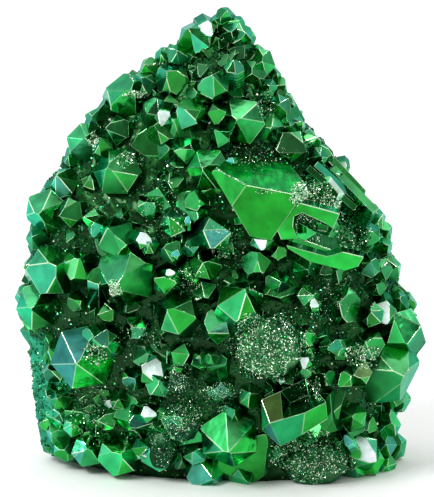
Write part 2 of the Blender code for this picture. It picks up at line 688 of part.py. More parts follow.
def ground_cutter(name, collection, place, rise):
    """Block that takes away all that lies below a plane through a place, rising to the left."""
    bm = bmesh.new()
    bmesh.ops.create_cube(bm, size=1.0)
    bm.transform(Matrix.Diagonal((GROUND_WIDTH, GROUND_WIDTH, GROUND_DEPTH, 1.0)))
    bm.transform(Matrix.Translation((0.0, 0.0, -0.5 * GROUND_DEPTH)))
    bm.transform(Matrix.Translation(place) @ Matrix.Rotation(rise, 4, "Y"))
    ground = add_object(name, bm, collection)
    hide_as_cutter(ground)
    return ground


def add_boolean(piece, name, operation, other):
    """Boolean of a piece with another object or with a whole collection."""
    step = piece.modifiers.new(name, "BOOLEAN")
    step.operation = operation
    step.solver = SOLVER
    if isinstance(other, bpy.types.Collection):
        step.operand_type = "COLLECTION"
        step.collection = other
    else:
        step.object = other


def main():
    clear_scene()
    chance = random.Random(SEED)
    cluster_parts = new_collection("titanium_aura_quartz")
    crystals = new_collection("crystals")
    cutters = new_collection("cutters")
    placed = placed_points(chance)
    filling = filling_points(placed, chance)
    cluster = add_object(CLUSTER_NAME, mound_mesh(), cluster_parts)
    for number, (bm, _, _) in enumerate(placed + filling):
        hide_as_cutter(add_object(f"crystal_{number:03d}", bm, crystals))
    flat = ground_cutter("ground", cutters, Vector(), 0.0)
    left_end = Vector((UNDERCUT_START, 0.0, 0.0))
    undercut = ground_cutter("undercut", cutters, left_end, UNDERCUT_RISE)
    add_boolean(cluster, "grow_together", "UNION", crystals)
    add_boolean(cluster, "cut_flat", "DIFFERENCE", flat)
    add_boolean(cluster, "cut_under", "DIFFERENCE", undercut)
    graph = bpy.context.evaluated_depsgraph_get()
    grown = bpy.data.meshes.new_from_object(cluster.evaluated_get(graph))
    cluster.modifiers.clear()
    keep_outer_shell(grown)
    grown.transform(Matrix.Translation(CLUSTER_SHIFT * MM))
    grown.materials.clear()
    grown.materials.append(coating_material())
    cluster.data = grown


if __name__ == "__main__":
    main()
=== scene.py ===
"""Looks of the titanium aura quartz cluster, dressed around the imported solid.

All crystals of the solid are built again here one by one, with narrow chamfers along their edges.
Their gaps are filled with smaller crystals and fine druse on a rough matrix. Lengths are in
millimetres in the cluster's own front view until each mesh is finished, then in metres.
"""
import math
import random

import bmesh
import bpy
from mathutils import Matrix, Vector, noise
from mathutils.bvhtree import BVHTree


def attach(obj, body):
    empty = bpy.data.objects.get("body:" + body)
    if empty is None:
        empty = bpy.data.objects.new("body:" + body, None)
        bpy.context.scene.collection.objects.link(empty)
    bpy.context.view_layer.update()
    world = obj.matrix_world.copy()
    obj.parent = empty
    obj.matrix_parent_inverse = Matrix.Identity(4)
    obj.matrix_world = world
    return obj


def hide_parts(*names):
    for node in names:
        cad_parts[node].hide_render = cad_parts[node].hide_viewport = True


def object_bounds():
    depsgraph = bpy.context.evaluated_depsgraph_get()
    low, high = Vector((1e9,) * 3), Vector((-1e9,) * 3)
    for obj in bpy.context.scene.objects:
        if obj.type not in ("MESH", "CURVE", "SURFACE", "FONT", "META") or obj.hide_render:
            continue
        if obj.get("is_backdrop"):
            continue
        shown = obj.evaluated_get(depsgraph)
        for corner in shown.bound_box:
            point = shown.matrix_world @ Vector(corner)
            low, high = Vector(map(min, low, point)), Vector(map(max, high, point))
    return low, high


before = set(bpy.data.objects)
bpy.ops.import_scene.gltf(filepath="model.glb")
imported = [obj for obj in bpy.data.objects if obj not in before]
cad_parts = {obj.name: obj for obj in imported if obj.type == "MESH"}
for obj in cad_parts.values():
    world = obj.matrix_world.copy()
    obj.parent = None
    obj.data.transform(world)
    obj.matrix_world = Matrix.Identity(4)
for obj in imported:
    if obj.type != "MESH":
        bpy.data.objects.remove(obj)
CAD_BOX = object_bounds()

MM = 0.001

# Seeds of the solid's crystals and of all that the looks add.
SEED = 8
DETAIL_SEED = 21

# The mound's own frame is moved by this much to bring the middle of its box over the origin. The
# corners of the solid's box are given in the mound's own frame.
CLUSTER_SHIFT = Vector((-0.414, 4.875, 0.0))
BOX_LOW, BOX_HIGH = (Vector(corner) / MM - CLUSTER_SHIFT for corner in CAD_BOX)

# The base is undercut at its left end: from this x it rises off the ground by this angle.
UNDERCUT_START = -14.0
UNDERCUT_RISE = math.radians(5.5)

# The front view looks down on the cluster by SIGHT_TILT, from SIGHT_LENGTH away. The photograph's
# frame is FRAME_WIDTH wide there. Sight lines are followed from the depth VIEW_START.
SIGHT_TILT = math.radians(12.0)
SIGHT_LENGTH = 1000.0
FRAME_WIDTH = 86.8
SENSOR_WIDTH = 36.0
AIM_HEIGHT = 43.45
ACROSS = Vector((1.0, 0.0, 0.0))
UPWARD = Vector((0.0, math.sin(SIGHT_TILT), math.cos(SIGHT_TILT)))
OUTWARD = Vector((0.0, -math.cos(SIGHT_TILT), math.sin(SIGHT_TILT)))
AIM = Vector((0.0, 0.0, AIM_HEIGHT))
EYE = AIM + OUTWARD * SIGHT_LENGTH
VIEW_START = -60.0
VIEW_REACH = 90.0
VIEW_WIDTH = (-41.0, 41.0)
VIEW_HEIGHT = (-2.0, 90.0)

# Quartz points end in six faces whose normals lean this far from the long axis.
FACE_LEAN = math.radians(51.8)
POINT_HEIGHT = math.cos(math.radians(30.0)) * math.tan(FACE_LEAN)

# Unevenness of the points, as parts of the radius: height of the shoulder corners and sideways
# place of the tip on small points, and how deep the end faces of large ones cut.
CORNER_RISE = 0.16
TIP_SHIFT = 0.14
LEAST_INSET = 0.01
MOST_INSET = 0.10
MOST_SLANT = 0.96

# Mound sections from the bottom up: height, left edge, right edge, front depth, back depth.
MOUND_SECTIONS = (
    (-10.0, -30.0, 31.0, 14.0, 14.0),
    (0.0, -35.0, 35.5, 17.0, 16.0),
    (10.0, -36.4, 35.0, 20.5, 17.0),
    (20.0, -37.4, 37.5, 23.5, 18.0),
    (30.0, -38.4, 38.6, 24.0, 18.0),
    (40.0, -37.2, 35.0, 23.0, 17.0),
    (50.0, -37.2, 32.0, 21.0, 16.0),
    (60.0, -31.0, 25.0, 18.0, 14.0),
    (70.0, -25.0, 17.0, 14.0, 12.0),
    (78.0, -17.0, 12.0, 10.5, 9.0),
    (85.0, -7.5, 7.0, 7.0, 6.0),
    (90.0, -1.0, 4.0, 1.5, 1.5),
)
MOUND_RINGS = 14
MOUND_SIDES = 22
FRONT_SKEW = 0.2
MOUND_ROUGHNESS = 1.0
BACK_ROUGHNESS = 2.4
ROUGHNESS_SCALE = 0.13
ROUGHNESS_LAYERS = (1.0, 2.0, 3)
POLE_REACH = 1e-4
TURN_STEP = 0.02
HEIGHT_STEP = 0.8
SIGHT_STEPS = 14

# Crystals reach ROOT into the mound, and the largest one GIANT_ROOT. Filling crystals: smallest
# and largest radius, stand, and how many places are tried. They keep CROWDING of the sum of both
# radii apart, tilt by about FILLING_TILT, and are rare where the mound faces back.
ROOT = 4.5
GIANT_ROOT = 9.0
FILLING_SIZES = (
    (3.0, 3.8, 1.0, 1500),
    (2.1, 2.9, 0.7, 3000),
)
FILLING_FOOT = 0.5
FILLING_TOP = 84.0
FILLING_TILT = 0.28
CROWDING = 0.98
BACK_LIMIT = 0.45
BACK_SHARE = 0.06

# The lower left corner is bare matrix: below this height, left of this cosine around the mound.
BARE_CORNER_TOP = 26.0
BARE_CORNER_EDGE = -0.72

# Outline of the cluster in the front view: h, left x, right x. Tips of filling crystals show at
# most OUTLINE_SLACK outside it.
OUTLINE_SLACK = 0.6
FRONT_OUTLINE = (
    (0.0, -34.0, 37.0),
    (10.0, -35.6, 36.8),
    (20.0, -37.0, 40.5),
    (30.0, -40.2, 40.4),
    (36.0, -38.8, 37.0),
    (44.0, -38.4, 34.6),
    (50.0, -38.6, 32.6),
    (56.0, -34.0, 28.2),
    (62.0, -30.4, 23.4),
    (68.0, -27.0, 18.0),
    (74.0, -22.0, 15.2),
    (80.0, -15.4, 11.6),
    (84.0, -8.4, 8.4),
    (89.0, -2.0, 4.8),
)

# Large front crystals, with end faces cut one by one: tip x, tip h, lean x, lean h, radius, turn,
# stand, contrast. Lean is how far the tip lies from the middle of its six shoulders in the view,
# turn is the direction of one shoulder corner in degrees, stand is how far the shoulders are off
# the mound, and contrast is how much deeper every second end face cuts, as a part of the radius.
LARGE_CRYSTALS = (
    (-16.7, 74.7, 0.8, 1.4, 4.8, 40, 2.0, 0.08),
    (3.6, 68.2, -1.0, 0.2, 4.9, -8, 2.6, 0.10),
    (-21.8, 58.8, -1.7, 0.9, 5.0, 57, 2.6, 0.04),
    (-35.8, 48.8, -1.7, -0.8, 4.9, 20, 2.2, 0.08),
    (-31.8, 39.2, 0.6, 0.8, 5.6, 0, 2.8, 0.08),
    (-37.0, 30.6, -1.4, -0.4, 5.0, 10, 2.2, 0.06),
    (-21.0, 34.6, -2.3, -1.8, 6.4, 25, 2.6, 0.10),
    (-10.4, 30.8, -1.8, 1.0, 4.6, -15, 2.6, 0.08),
    (5.8, 35.0, 1.0, 2.6, 4.9, 12, 3.2, 0.02),
    (34.8, 30.2, -1.0, 2.8, 4.9, 0, 2.6, 0.06),
    (37.8, 16.8, 3.4, -1.4, 7.6, 5, 2.6, 0.08),
    (-28.0, 20.0, -1.2, -0.8, 6.8, 10, 3.0, 0.02),
    (-19.2, 1.8, 0.2, 0.3, 4.6, 15, 2.6, 0.08),
    (2.2, 1.8, -0.2, -2.5, 6.2, 34, 3.0, 0.04),
)

# The largest crystal of all: tip x, tip h, lean of its axis over its height, how far its tip is off
# the mound, then its planes. Each end plane is (direction in degrees, distance from the tip), and
# each side plane is (direction in degrees, distance from the axis through the tip).
GIANT_TIP = (5.8, 55.0)
GIANT_LEAN = (0.08, 0.28)
GIANT_STAND = 13.0
GIANT_ENDS = ((80, 0.0), (200, 0.0), (260, 0.0), (140, 2.6), (20, 6.1), (320, 6.2))
GIANT_SIDES = ((80, 9.9), (140, 7.5), (200, 5.0), (260, 7.2), (320, 9.6), (20, 12.0))

# Other front crystals: tip x, tip h, lean x, lean h, radius, turn, stand.
FRONT_CRYSTALS = (
    # Crown
    (-6.2, 86.4, -1.7, 1.5, 4.1, 25, 2.4),
    (2.0, 90.0, 0.3, 1.0, 2.2, 10, 1.0),
    (-0.6, 88.4, -0.4, 0.8, 2.1, 40, 1.0),
    (4.8, 88.2, 0.8, 0.7, 2.0, 0, 1.0),
    (5.6, 85.4, 0.9, 0.2, 2.7, 35, 1.4),
    (3.0, 85.8, 0.0, 0.2, 2.3, 15, 1.2),
    (8.8, 79.8, 0.2, 0.2, 3.2, 50, 2.0),
    (9.0, 81.8, 0.8, 0.5, 2.3, 20, 1.2),
    (7.2, 84.8, 0.9, 0.3, 2.0, 0, 1.0),
    (3.4, 80.6, 0.0, 1.9, 2.1, 30, 2.2),
    (7.0, 77.6, 0.0, 0.2, 3.0, 0, 0.6),
    (-10.2, 78.4, -1.0, 1.7, 3.7, -8, 2.0),
    (-1.2, 77.8, -0.4, 2.2, 3.5, -25, 2.0),
    (-15.0, 79.2, -1.2, 0.8, 2.6, 20, 1.6),
    (-11.6, 82.2, -1.0, 1.2, 2.4, 0, 1.2),
    (-8.0, 82.2, -0.2, 0.9, 2.4, 40, 1.4),
    (-15.2, 76.6, -0.6, 1.2, 2.7, 0, 1.4),
    (-4.0, 73.8, 0.2, 0.5, 2.3, 30, 1.0),
    (12.0, 77.8, 1.0, 0.6, 2.3, 10, 1.2),
    (13.9, 75.4, 1.4, 0.5, 2.4, 40, 1.2),
    (10.6, 75.0, 0.4, 0.3, 2.0, 0, 1.2),
    (15.6, 71.8, 1.5, 0.4, 2.6, 0, 1.2),
    (12.6, 71.2, 0.3, 0.5, 2.8, 30, 1.4),
    (9.6, 73.2, 0.0, 0.2, 1.8, 20, 0.8),
    # Upper left
    (-26.0, 64.4, 0.0, 0.7, 4.2, 45, 2.0),
    (-25.4, 68.6, -0.8, 0.8, 2.6, 15, 1.4),
    (-22.8, 71.6, -0.8, 0.8, 2.4, 0, 1.2),
    (-29.6, 61.6, -1.0, 0.6, 2.6, 20, 1.4),
    (-23.4, 64.6, -0.5, 1.5, 2.4, 30, 3.2),
    (-22.4, 66.6, -2.2, 0.5, 3.2, -30, 1.6),
    (-8.4, 71.4, -2.2, 1.5, 3.6, 20, 2.0),
    (-12.6, 67.2, -1.2, 1.0, 3.1, -30, 2.0),
    (-11.6, 73.2, 0.4, 2.2, 2.7, 30, 2.0),
    (-8.8, 62.2, -1.7, 0.1, 3.0, -10, 1.8),
    (-4.4, 54.2, -0.2, 1.7, 2.6, 30, 1.6),
    (-2.6, 58.4, -0.9, 0.1, 4.4, 0, 2.6),
    # Left edge
    (-31.8, 49.4, -2.0, -0.3, 3.2, 45, 2.2),
    (-32.2, 57.2, -1.6, 1.4, 3.4, 10, 2.0),
    (-34.4, 54.6, -1.2, 0.6, 2.6, 0, 1.4),
    (-37.0, 44.6, -1.0, 0.2, 2.5, 0, 2.2),
    (-27.4, 41.0, 0.0, 1.6, 3.7, 0, 2.0),
    (-21.8, 46.4, -1.3, 1.2, 4.1, -22, 2.4),
    (-23.6, 39.6, 0.0, 2.3, 2.6, 90, 2.0),
    (-39.6, 33.8, -1.6, 0.6, 3.0, 10, 1.6),
    # Middle
    (1.8, 70.0, 1.0, 0.4, 2.6, 0, 1.4),
    (-0.6, 66.4, -1.2, 1.4, 2.6, -30, 1.2),
    (-10.0, 49.2, -1.2, 1.2, 3.3, 25, 2.2),
    (-13.8, 43.6, -0.3, 0.3, 2.1, 0, 2.6),
    (-11.0, 42.8, -1.5, 0.6, 2.6, -20, 2.2),
    (-6.8, 43.2, -1.1, 0.3, 2.2, 0, 2.0),
    (-12.8, 37.0, -2.0, 0.5, 3.1, -20, 2.6),
    (3.2, 46.4, 2.6, 0.8, 3.9, -12, 2.6),
    (-2.6, 40.2, -0.4, 0.8, 3.3, -10, 1.8),
    (7.8, 41.8, 0.1, 1.6, 3.1, 0, 1.8),
    (12.2, 43.2, 0.2, 0.9, 2.1, 30, 1.6),
    (18.0, 62.0, 2.5, -0.5, 3.8, 10, 1.6),
    (20.8, 61.0, 0.6, 0.2, 2.2, 0, 1.8),
    (17.4, 67.8, 1.6, 0.7, 2.6, 0, 1.4),
    (20.6, 64.4, 1.8, 0.6, 2.8, 20, 1.2),
    (23.4, 61.6, 1.8, 0.6, 2.7, 0, 1.0),
    (10.6, 66.8, 0.6, 0.4, 3.8, 10, 0.2),
    (14.6, 66.8, 0.4, 0.4, 2.4, 40, 0.8),
    (25.0, 57.6, 1.4, 0.9, 2.6, 30, 1.2),
    (28.2, 54.4, 1.4, 0.9, 2.6, 10, 1.2),
    # Right side
    (33.2, 49.6, 1.5, 0.9, 2.6, 0, 1.2),
    (30.2, 46.4, 0.2, 0.8, 2.9, 30, 1.0),
    (34.4, 46.4, 1.2, 0.4, 2.4, 20, 1.4),
    (34.8, 43.0, 1.4, 0.4, 2.5, 0, 1.4),
    (30.8, 39.8, 0.3, 0.8, 2.4, 40, 1.4),
    (33.0, 38.6, 0.2, 0.2, 2.4, 0, 1.6),
    (36.0, 38.6, 1.6, 0.2, 3.1, 20, 1.4),
    (32.2, 35.4, 0.3, 0.6, 1.9, 0, 1.4),
    (36.4, 32.6, 0.5, 1.0, 2.7, 30, 2.0),
    (39.2, 32.6, 1.2, 0.7, 2.5, 0, 1.4),
    (30.4, 30.0, -0.4, 0.6, 2.6, 20, 2.0),
    (30.0, 24.0, 0.0, 0.5, 3.6, 0, 0.6),
    (24.6, 31.6, 0.0, 0.4, 4.4, 15, 0.0),
    (19.4, 33.4, 1.0, 0.3, 2.4, 0, 1.6),
    (27.0, 17.0, -0.8, -0.6, 3.2, 0, 1.4),
    (22.0, 23.2, 0.0, 0.2, 1.7, 30, 1.4),
    (24.8, 22.0, 0.2, 0.2, 1.7, 0, 1.6),
    (21.6, 17.4, 0.2, 0.4, 2.3, 10, 1.4),
    (17.6, 25.4, 0.0, 0.4, 2.3, 0, 1.8),
    (17.2, 18.6, 0.0, 0.4, 1.9, 30, 1.4),
    (26.8, 9.2, -0.4, 0.3, 2.8, 20, 1.8),
    (25.4, 4.2, 0.2, 0.2, 2.0, 0, 1.8),
    (30.2, 1.2, 0.1, 0.8, 3.4, 60, 2.0),
    (37.6, 11.6, 1.0, -0.4, 2.6, 0, 1.4),
    (35.0, 7.6, 1.2, 0.2, 3.5, 0, 1.6),
    (36.6, 3.0, 1.2, 0.0, 3.1, 20, 1.2),
    (33.8, -0.8, 0.6, 0.0, 3.0, 10, 1.4),
    (27.6, -1.4, 0.2, -0.2, 2.8, 30, 1.6),
    (33.6, 3.6, 0.3, 0.2, 2.8, 0, 1.4),
    # Lower left
    (-21.8, 22.4, 0.2, -0.8, 3.2, 90, 3.8),
    (-24.4, 25.4, 0.2, 0.5, 2.6, 30, 2.2),
    (-17.6, 27.0, -1.0, 0.3, 2.5, 0, 1.6),
    (-13.6, 22.0, 0.2, 0.8, 3.2, 20, 0.4),
    (-11.8, 16.4, -0.2, 0.6, 3.0, 50, 2.4),
    (-9.4, 21.8, -1.4, 0.4, 2.6, 0, 1.8),
    (-8.6, 18.8, -0.2, 0.2, 1.6, 0, 1.8),
    (-2.4, 25.6, -1.6, -1.0, 3.6, 40, 2.2),
    (-1.2, 21.2, 0.0, 0.2, 1.8, 0, 1.8),
    (-3.4, 21.2, 0.0, 0.2, 1.6, 30, 1.4),
    (-19.6, 12.8, 0.0, 0.4, 2.3, 0, 1.4),
    (-28.8, 7.6, -0.2, 0.4, 2.3, 20, 2.0),
    (-31.8, 12.8, -0.6, 0.4, 2.3, 0, 2.0),
    (-31.4, 9.8, -0.4, 0.0, 2.0, 40, 1.8),
    (-25.8, 2.6, 0.0, 0.4, 3.4, 10, 2.0),
    (-13.8, 3.2, 0.8, 0.6, 2.4, 0, 1.8),
    (-11.0, 2.2, 0.4, 0.2, 4.1, 30, 1.8),
    (-6.6, 8.8, 0.2, 0.4, 4.4, 0, 2.2),
    (-4.8, 2.2, -0.4, 0.4, 2.6, 20, 1.8),
    (-1.0, -4.2, 1.0, -1.4, 4.0, 10, 2.2),
    (3.4, 10.6, 0.2, 0.6, 3.2, 0, 0.8),
    (0.6, 16.0, 0.0, 0.5, 3.4, 20, 0.4),
    (7.0, 13.4, 0.2, 0.4, 2.6, 30, 0.8),
    (-34.2, 18.4, -1.4, 0.2, 2.8, 0, 0.8),
    (-33.8, 22.6, -1.4, 0.4, 2.6, 20, 0.8),
    (-34.2, 13.6, -1.4, 0.0, 2.6, 40, 0.8),
    (-33.2, 5.6, -1.2, 0.0, 2.6, 0, 1.2),
    (-30.6, 2.6, -0.4, 0.0, 2.8, 30, 1.2),
)

# Blunt druse-covered points: middle x, middle h, radius, turn, stand, part of the point left.
BLUNT_CRYSTALS = (
    (10.2, 23.0, 6.2, 0, 3.0, 0.30),
    (19.4, -0.8, 6.4, 15, 3.0, 0.35),
    (21.0, 52.6, 4.6, 10, 1.6, 0.20),
)

# Crystals hollowed by skeletal growth: middle x and h of the flat end, lean x, lean h, radius, turn,
# stand, length of the flat end over its width, and the direction of that length in degrees.
HOLLOW_CRYSTALS = (
    (18.2, 47.0, 0.4, 1.0, 4.5, -16, 5.0, 1.42, -16.0),
    (14.6, 11.6, -0.8, 3.2, 5.0, 20, 5.6, 1.36, 20.0),
)
# Rings of a hollow crystal from its rim inwards: part of the radius, height over the radius.
HOLLOW_RINGS = ((1.0, -0.30), (0.82, 0.0), (0.60, -0.04), (0.48, -0.50))

# Long prisms that lie along the surface: end x, end h, other end x, other end h, radius.
LYING_CRYSTALS = (
    (14.4, 45.2, 29.6, 39.8, 2.7),
    (17.8, 57.2, 30.2, 48.0, 1.7),
    (20.4, 57.8, 31.0, 49.4, 1.5),
    (21.4, 60.8, 29.4, 52.2, 1.8),
)

# Planes that cut the cluster off underneath: a place on each, and the direction that is cut away.
GROUND_PLANES = (
    (Vector((0.0, 0.0, 0.0)), Vector((0.0, 0.0, -1.0))),
    (
        Vector((UNDERCUT_START, 0.0, 0.0)),
        Vector((-math.sin(UNDERCUT_RISE), 0.0, -math.cos(UNDERCUT_RISE))),
    ),
)

# Chamfers: part of the radius, and the widest. Corners closer than SHORT_EDGE or SHORT_PART of the
# radius are joined first, and a face that points down the axis beyond FOOT_FACING, as a cosine, is
# left sharp. A chamfer shows EDGE_LEAST of the pale edge colour, a painted highlight, or more.
CHAMFER_PART = 0.030
CHAMFER_MOST = 0.13
SHORT_EDGE = 0.3
SHORT_PART = 0.12
FOOT_FACING = -0.9
EDGE_LEAST = 0.04
EDGE_POWER = 1.8

# Uneven growth of plain points: how deep main and minor end faces cut, in parts of the radius, and
# how many minor faces are cut at all.
MAIN_INSETS = (0.02, 0.24)
MINOR_INSETS = (0.02, 0.10)
MINOR_SHARE = 0.3

# Shade is painted into the film deep between the crystals, where it is also duller: heights over the
# matrix where the painted shade is darkest and where the film is full, and how much of the full colour is
# left at its darkest.
SHADE_LOW = -0.5
SHADE_HIGH = 5.2
SHADE_LEAST = 0.27

# Smaller crystals in the gaps: smallest and largest radius, stand, tries from around the mound,
# tries from the front view, and the tone of their film, kept low as painted shade in the gaps. They keep
# GAP_CROWDING of the sum of both radii apart, tilt by about GAP_TILT, keep clear of mirror crystals as if
# those were GLINT_ROOM wider, are at most CROWN_RADIUS wide above CROWN_HEIGHT, and stay FOOT_ROOM radii
# off the ground. A GAP_BACK_SHARE of those that face back is left out. All reach GAP_SINK radii into the
# matrix.
GAP_SIZES = (
    (6.6, 9.4, -4.8, 1500, 9000, 0.34),
    (4.4, 6.4, -2.9, 2500, 12000, 0.38),
    (3.0, 4.4, -1.9, 3000, 14000, 0.48),
    (1.8, 2.8, -0.9, 1500, 9000, 0.60),
)
GAP_CROWDING = 0.30
GAP_TILT = 0.36
GAP_BACK_SHARE = 0.5
GAP_SINK = 1.2
GLINT_ROOM = 3.0
CROWN_HEIGHT = 74.0
CROWN_RADIUS = 2.6
FOOT_ROOM = 1.2

# What should stay in view of a crystal is looked for CLEARANCE in front of it. On a large face that
# turns to the viewer by more than SHOWN_LIMIT, as a cosine, that is its middle and places CORNER_SHARE
# of the way to its corners.
CLEARANCE = 0.05
SHOWN_LIMIT = 0.1
CORNER_SHARE = 0.45

# Rows of fine druse along some ridges between end faces: share of the crystals, shortest ridge, least
# cosines to the viewer and to the axis, spacing, radius of the points, how far they stray, their tone
# and the share of pale golden ones, whose pale colour is partly golden film and partly painted sparkle.
RIDGE_SHARE = 0.22
RIDGE_LEAST = 1.5
RIDGE_FRONT = 0.3
RIDGE_END = 0.1
RIDGE_STEP = 0.16
RIDGE_SIZES = (0.07, 0.20)
RIDGE_SPREAD = 0.10
RIDGE_TONE = 1.1
RIDGE_GOLD_SPARKLE = 0.5

# Mirror crystals, small ones with one end face that mirrors the direction GLINT_PANEL to the front and
# carries a pale
# painted highlight: x, h, radius, lift over the mound, and where the rest of the crystal lies from that
# face, in degrees. That face is cut GLINT_INSET deep and the crystal is moved GLINT_SHIFT aside, in
# radii. The face with the painted highlight is the one within MIRROR_LIMIT, as a cosine.
GLINTS = (
    (-1.4, 85.2, 2.1, 3.2, 300), (-11.0, 67.4, 2.0, 3.8, 260), (-13.4, 43.8, 1.9, 4.0, 330),
    (9.0, 42.8, 2.4, 5.4, 280), (-8.6, 37.6, 1.1, 4.2, 350), (-11.6, 16.4, 3.2, 3.6, 300),
    (17.4, 18.8, 1.5, 3.8, 270), (-12.4, 9.4, 1.9, 3.6, 340), (-14.2, 1.2, 1.4, 3.8, 300),
    (30.8, 0.8, 3.9, 7.2, 320), (33.6, 28.2, 2.8, 4.4, 290), (25.2, 57.8, 1.5, 1.6, 280),
    (31.8, 48.6, 1.6, 2.0, 300), (-0.2, -4.0, 1.2, 4.0, 320), (-21.4, 11.0, 1.0, 3.4, 280),
    (13.4, 16.0, 0.8, 2.6, 340), (19.2, 32.4, 1.3, 3.4, 100),
)
GLINT_INSET = 0.22
GLINT_SHIFT = 0.35
GLINT_UNEVEN = 0.07
GLINT_BLUR = 0.3
GLINT_LENGTH = 3.0
MIRROR_LIMIT = 0.99
GLINT_PANEL = Vector((-0.25, -0.75, 0.75))

# Coating colours, linear: facets that face down, sideways, left, and up, then rarer ones; the darker
# downward and paler upward ones are painted shade and painted light. The pale golden druse colour is
# partly golden film and partly painted sparkle, and the valley colour is the painted shade that the film
# darkens to in the gaps.
LEAF_GREEN = Vector((0.011, 0.275, 0.020))
GREEN = Vector((0.016, 0.400, 0.046))
TEAL = Vector((0.034, 0.400, 0.215))
PALE_GREEN = Vector((0.080, 0.430, 0.140))
BLUE = Vector((0.060, 0.330, 0.300))
CYAN = Vector((0.100, 0.560, 0.520))
DEEP_GREEN = Vector((0.012, 0.200, 0.014))
OLIVE = Vector((0.055, 0.120, 0.022))
PAINTED_SILVER_HIGHLIGHT = Vector((0.620, 0.950, 0.740))
GOLDEN = Vector((0.380, 0.740, 0.260))
PAINTED_SHADE = Vector((0.026, 0.150, 0.033))
SEA_GREEN = Vector((0.012, 0.290, 0.095))
LOW_GREEN = Vector((0.034, 0.430, 0.110))
GOLD_AND_SPARKLE = Vector((0.78, 0.95, 0.70))
# The glint colour is a painted highlight on the mirror faces.
GLINT_PAINTED_HIGHLIGHT = Vector((0.82, 1.0, 0.96))
# The pale edge colour is a painted highlight along the chamfers.
PAINTED_EDGE_HIGHLIGHT = (0.80, 1.0, 0.70, 1.0)

# Film of a facet: how fast it changes for facets that face up or down, darker downwards and paler upwards
# as painted shade and painted light, how teal those that face right are and from where, its spread, and
# its brightness. Crystals wider than EVEN_RADIUS are more even.
EVEN_RADIUS = 4.3
UP_DOWN_RATE = 1.2
RIGHT_TEAL = 0.8
RIGHT_START = 0.4
FILM_SPREAD = 0.28
EVEN_SPREAD = 0.10
FILM_TONES = (0.75, 1.35)
EVEN_TONES = (0.85, 1.2)

# Share of bluer facets, and how much more of them face left, then of deeper and of paler ones.
BLUE_SHARE = 0.16
BLUE_LEFT = 0.30
DEEP_SHARE = 0.20
PALE_SHARE = 0.10
RARE_PART = (0.3, 0.9)
PALE_PART = (0.3, 1.0)

# Near the ground, below FOOT_HEIGHT, light is painted into the film to make it brighter, and a FOOT_SHARE
# of facets is bluer.
FOOT_HEIGHT = 12.0
FOOT_SHARE = 0.30
FOOT_PART = (0.4, 0.9)
FOOT_PAINTED_LIGHT = 1.7

# A facet within UPRIGHT_LIMIT of the crystal's axis, as a cosine, has growth lines. Few facets are
# blurred, and all of them a little more in the gaps, by SHADE_BLUR.
UPRIGHT_LIMIT = 0.3
BLUR_POWER = 3.0
SHADE_BLUR = 0.25

# More mirror crystals, with the film colour of their pale face at the end.
COLORED_GLINTS = (
    (22.4, 22.6, 1.9, 3.0, 200, TEAL), (26.0, 22.0, 1.5, 3.0, 320, CYAN),
    (24.6, 15.4, 1.9, 3.0, 240, GREEN), (25.6, 5.0, 1.4, 3.4, 120, CYAN * 0.8),
    (1.4, 59.2, 1.5, 3.6, 200, CYAN), (-5.8, 48.8, 1.0, 3.6, 90, CYAN),
    (-9.0, 41.2, 1.1, 3.8, 200, CYAN * 0.8), (-24.6, 45.2, 1.8, 3.8, 250, TEAL * 1.5),
)
ALL_GLINTS = tuple(glint + (GLINT_PAINTED_HIGHLIGHT,) for glint in GLINTS) + COLORED_GLINTS

# Coating: its gloss at grazing angles, its clear top coat, the blur of sharp and of dull facets, and
# how much the clouds add to that.
GRAZING_TINT = (0.35, 0.85, 0.74, 1.0)
TOP_COAT = 0.15
TOP_COAT_BLUR = 0.06
FACET_BLUR = (0.07, 0.34)
CLOUD_BLUR = 0.10

# Clouds that mottle the film, and low waves that bend it: scale and detail of each, tones of the
# clouds, then strength and height of the waves. Heights are in metres.
CLOUDS = (260.0, 3.0)
CLOUD_SPAN = (0.3, 0.7)
CLOUD_TONES = (0.7, 1.3)
WAVES = (230.0, 2.0)
WAVE_STRENGTH = 0.5
WAVE_HEIGHT = 0.0005

# Growth lines along the prisms: how dense they are across, scale and detail, tones, then strength and
# height of their grooves.
LINE_DENSITY = 70.0
LINES = (3.2, 2.0)
LINE_SPAN = (0.35, 0.68)
LINE_TONES = (-0.12, 0.25)
GROOVE_STRENGTH = 0.4
GROOVE_HEIGHT = 0.00015

# Pale floor: its colour, blur and gloss, and how far it reaches in metres.
FLOOR_COLOR = (0.94, 0.94, 0.94, 1.0)
FLOOR_BLUR = 0.9
FLOOR_GLOSS = 0.1
FLOOR_REACH = 3.0

# Soft square lights: name, place, width, and brightness. All are in metres.
KEY_PLACE = Vector((-0.9, -0.75, 1.1))
LIGHTS = (
    ("key", KEY_PLACE, 0.56, 15.7),
    ("rim_left", (-1.2, 0.5, 0.5), 0.16, 22.0),
    ("rim_right", (0.9, 0.8, 0.9), 0.16, 22.0),
    ("front_high", (0.35, -1.2, 1.0), 0.14, 22.0),
    ("right_low", (1.15, -0.65, 0.3), 0.14, 22.0),
)

# Facets larger than GLARE_AREA in square millimetres that mirror the key light to the front, within
# the cosine GLARE_LIMIT, keep only the GLARE_TONE part of their film colour: painted shade that dims the
# key light's reflection in them. Crystals in the gaps have none larger than GLARE_MOST.
GLARE = (OUTWARD + KEY_PLACE.normalized()).normalized()
GLARE_AREA = 1.2
GLARE_MOST = 3.0
GLARE_LIMIT = 0.982
GLARE_TONE = 0.16

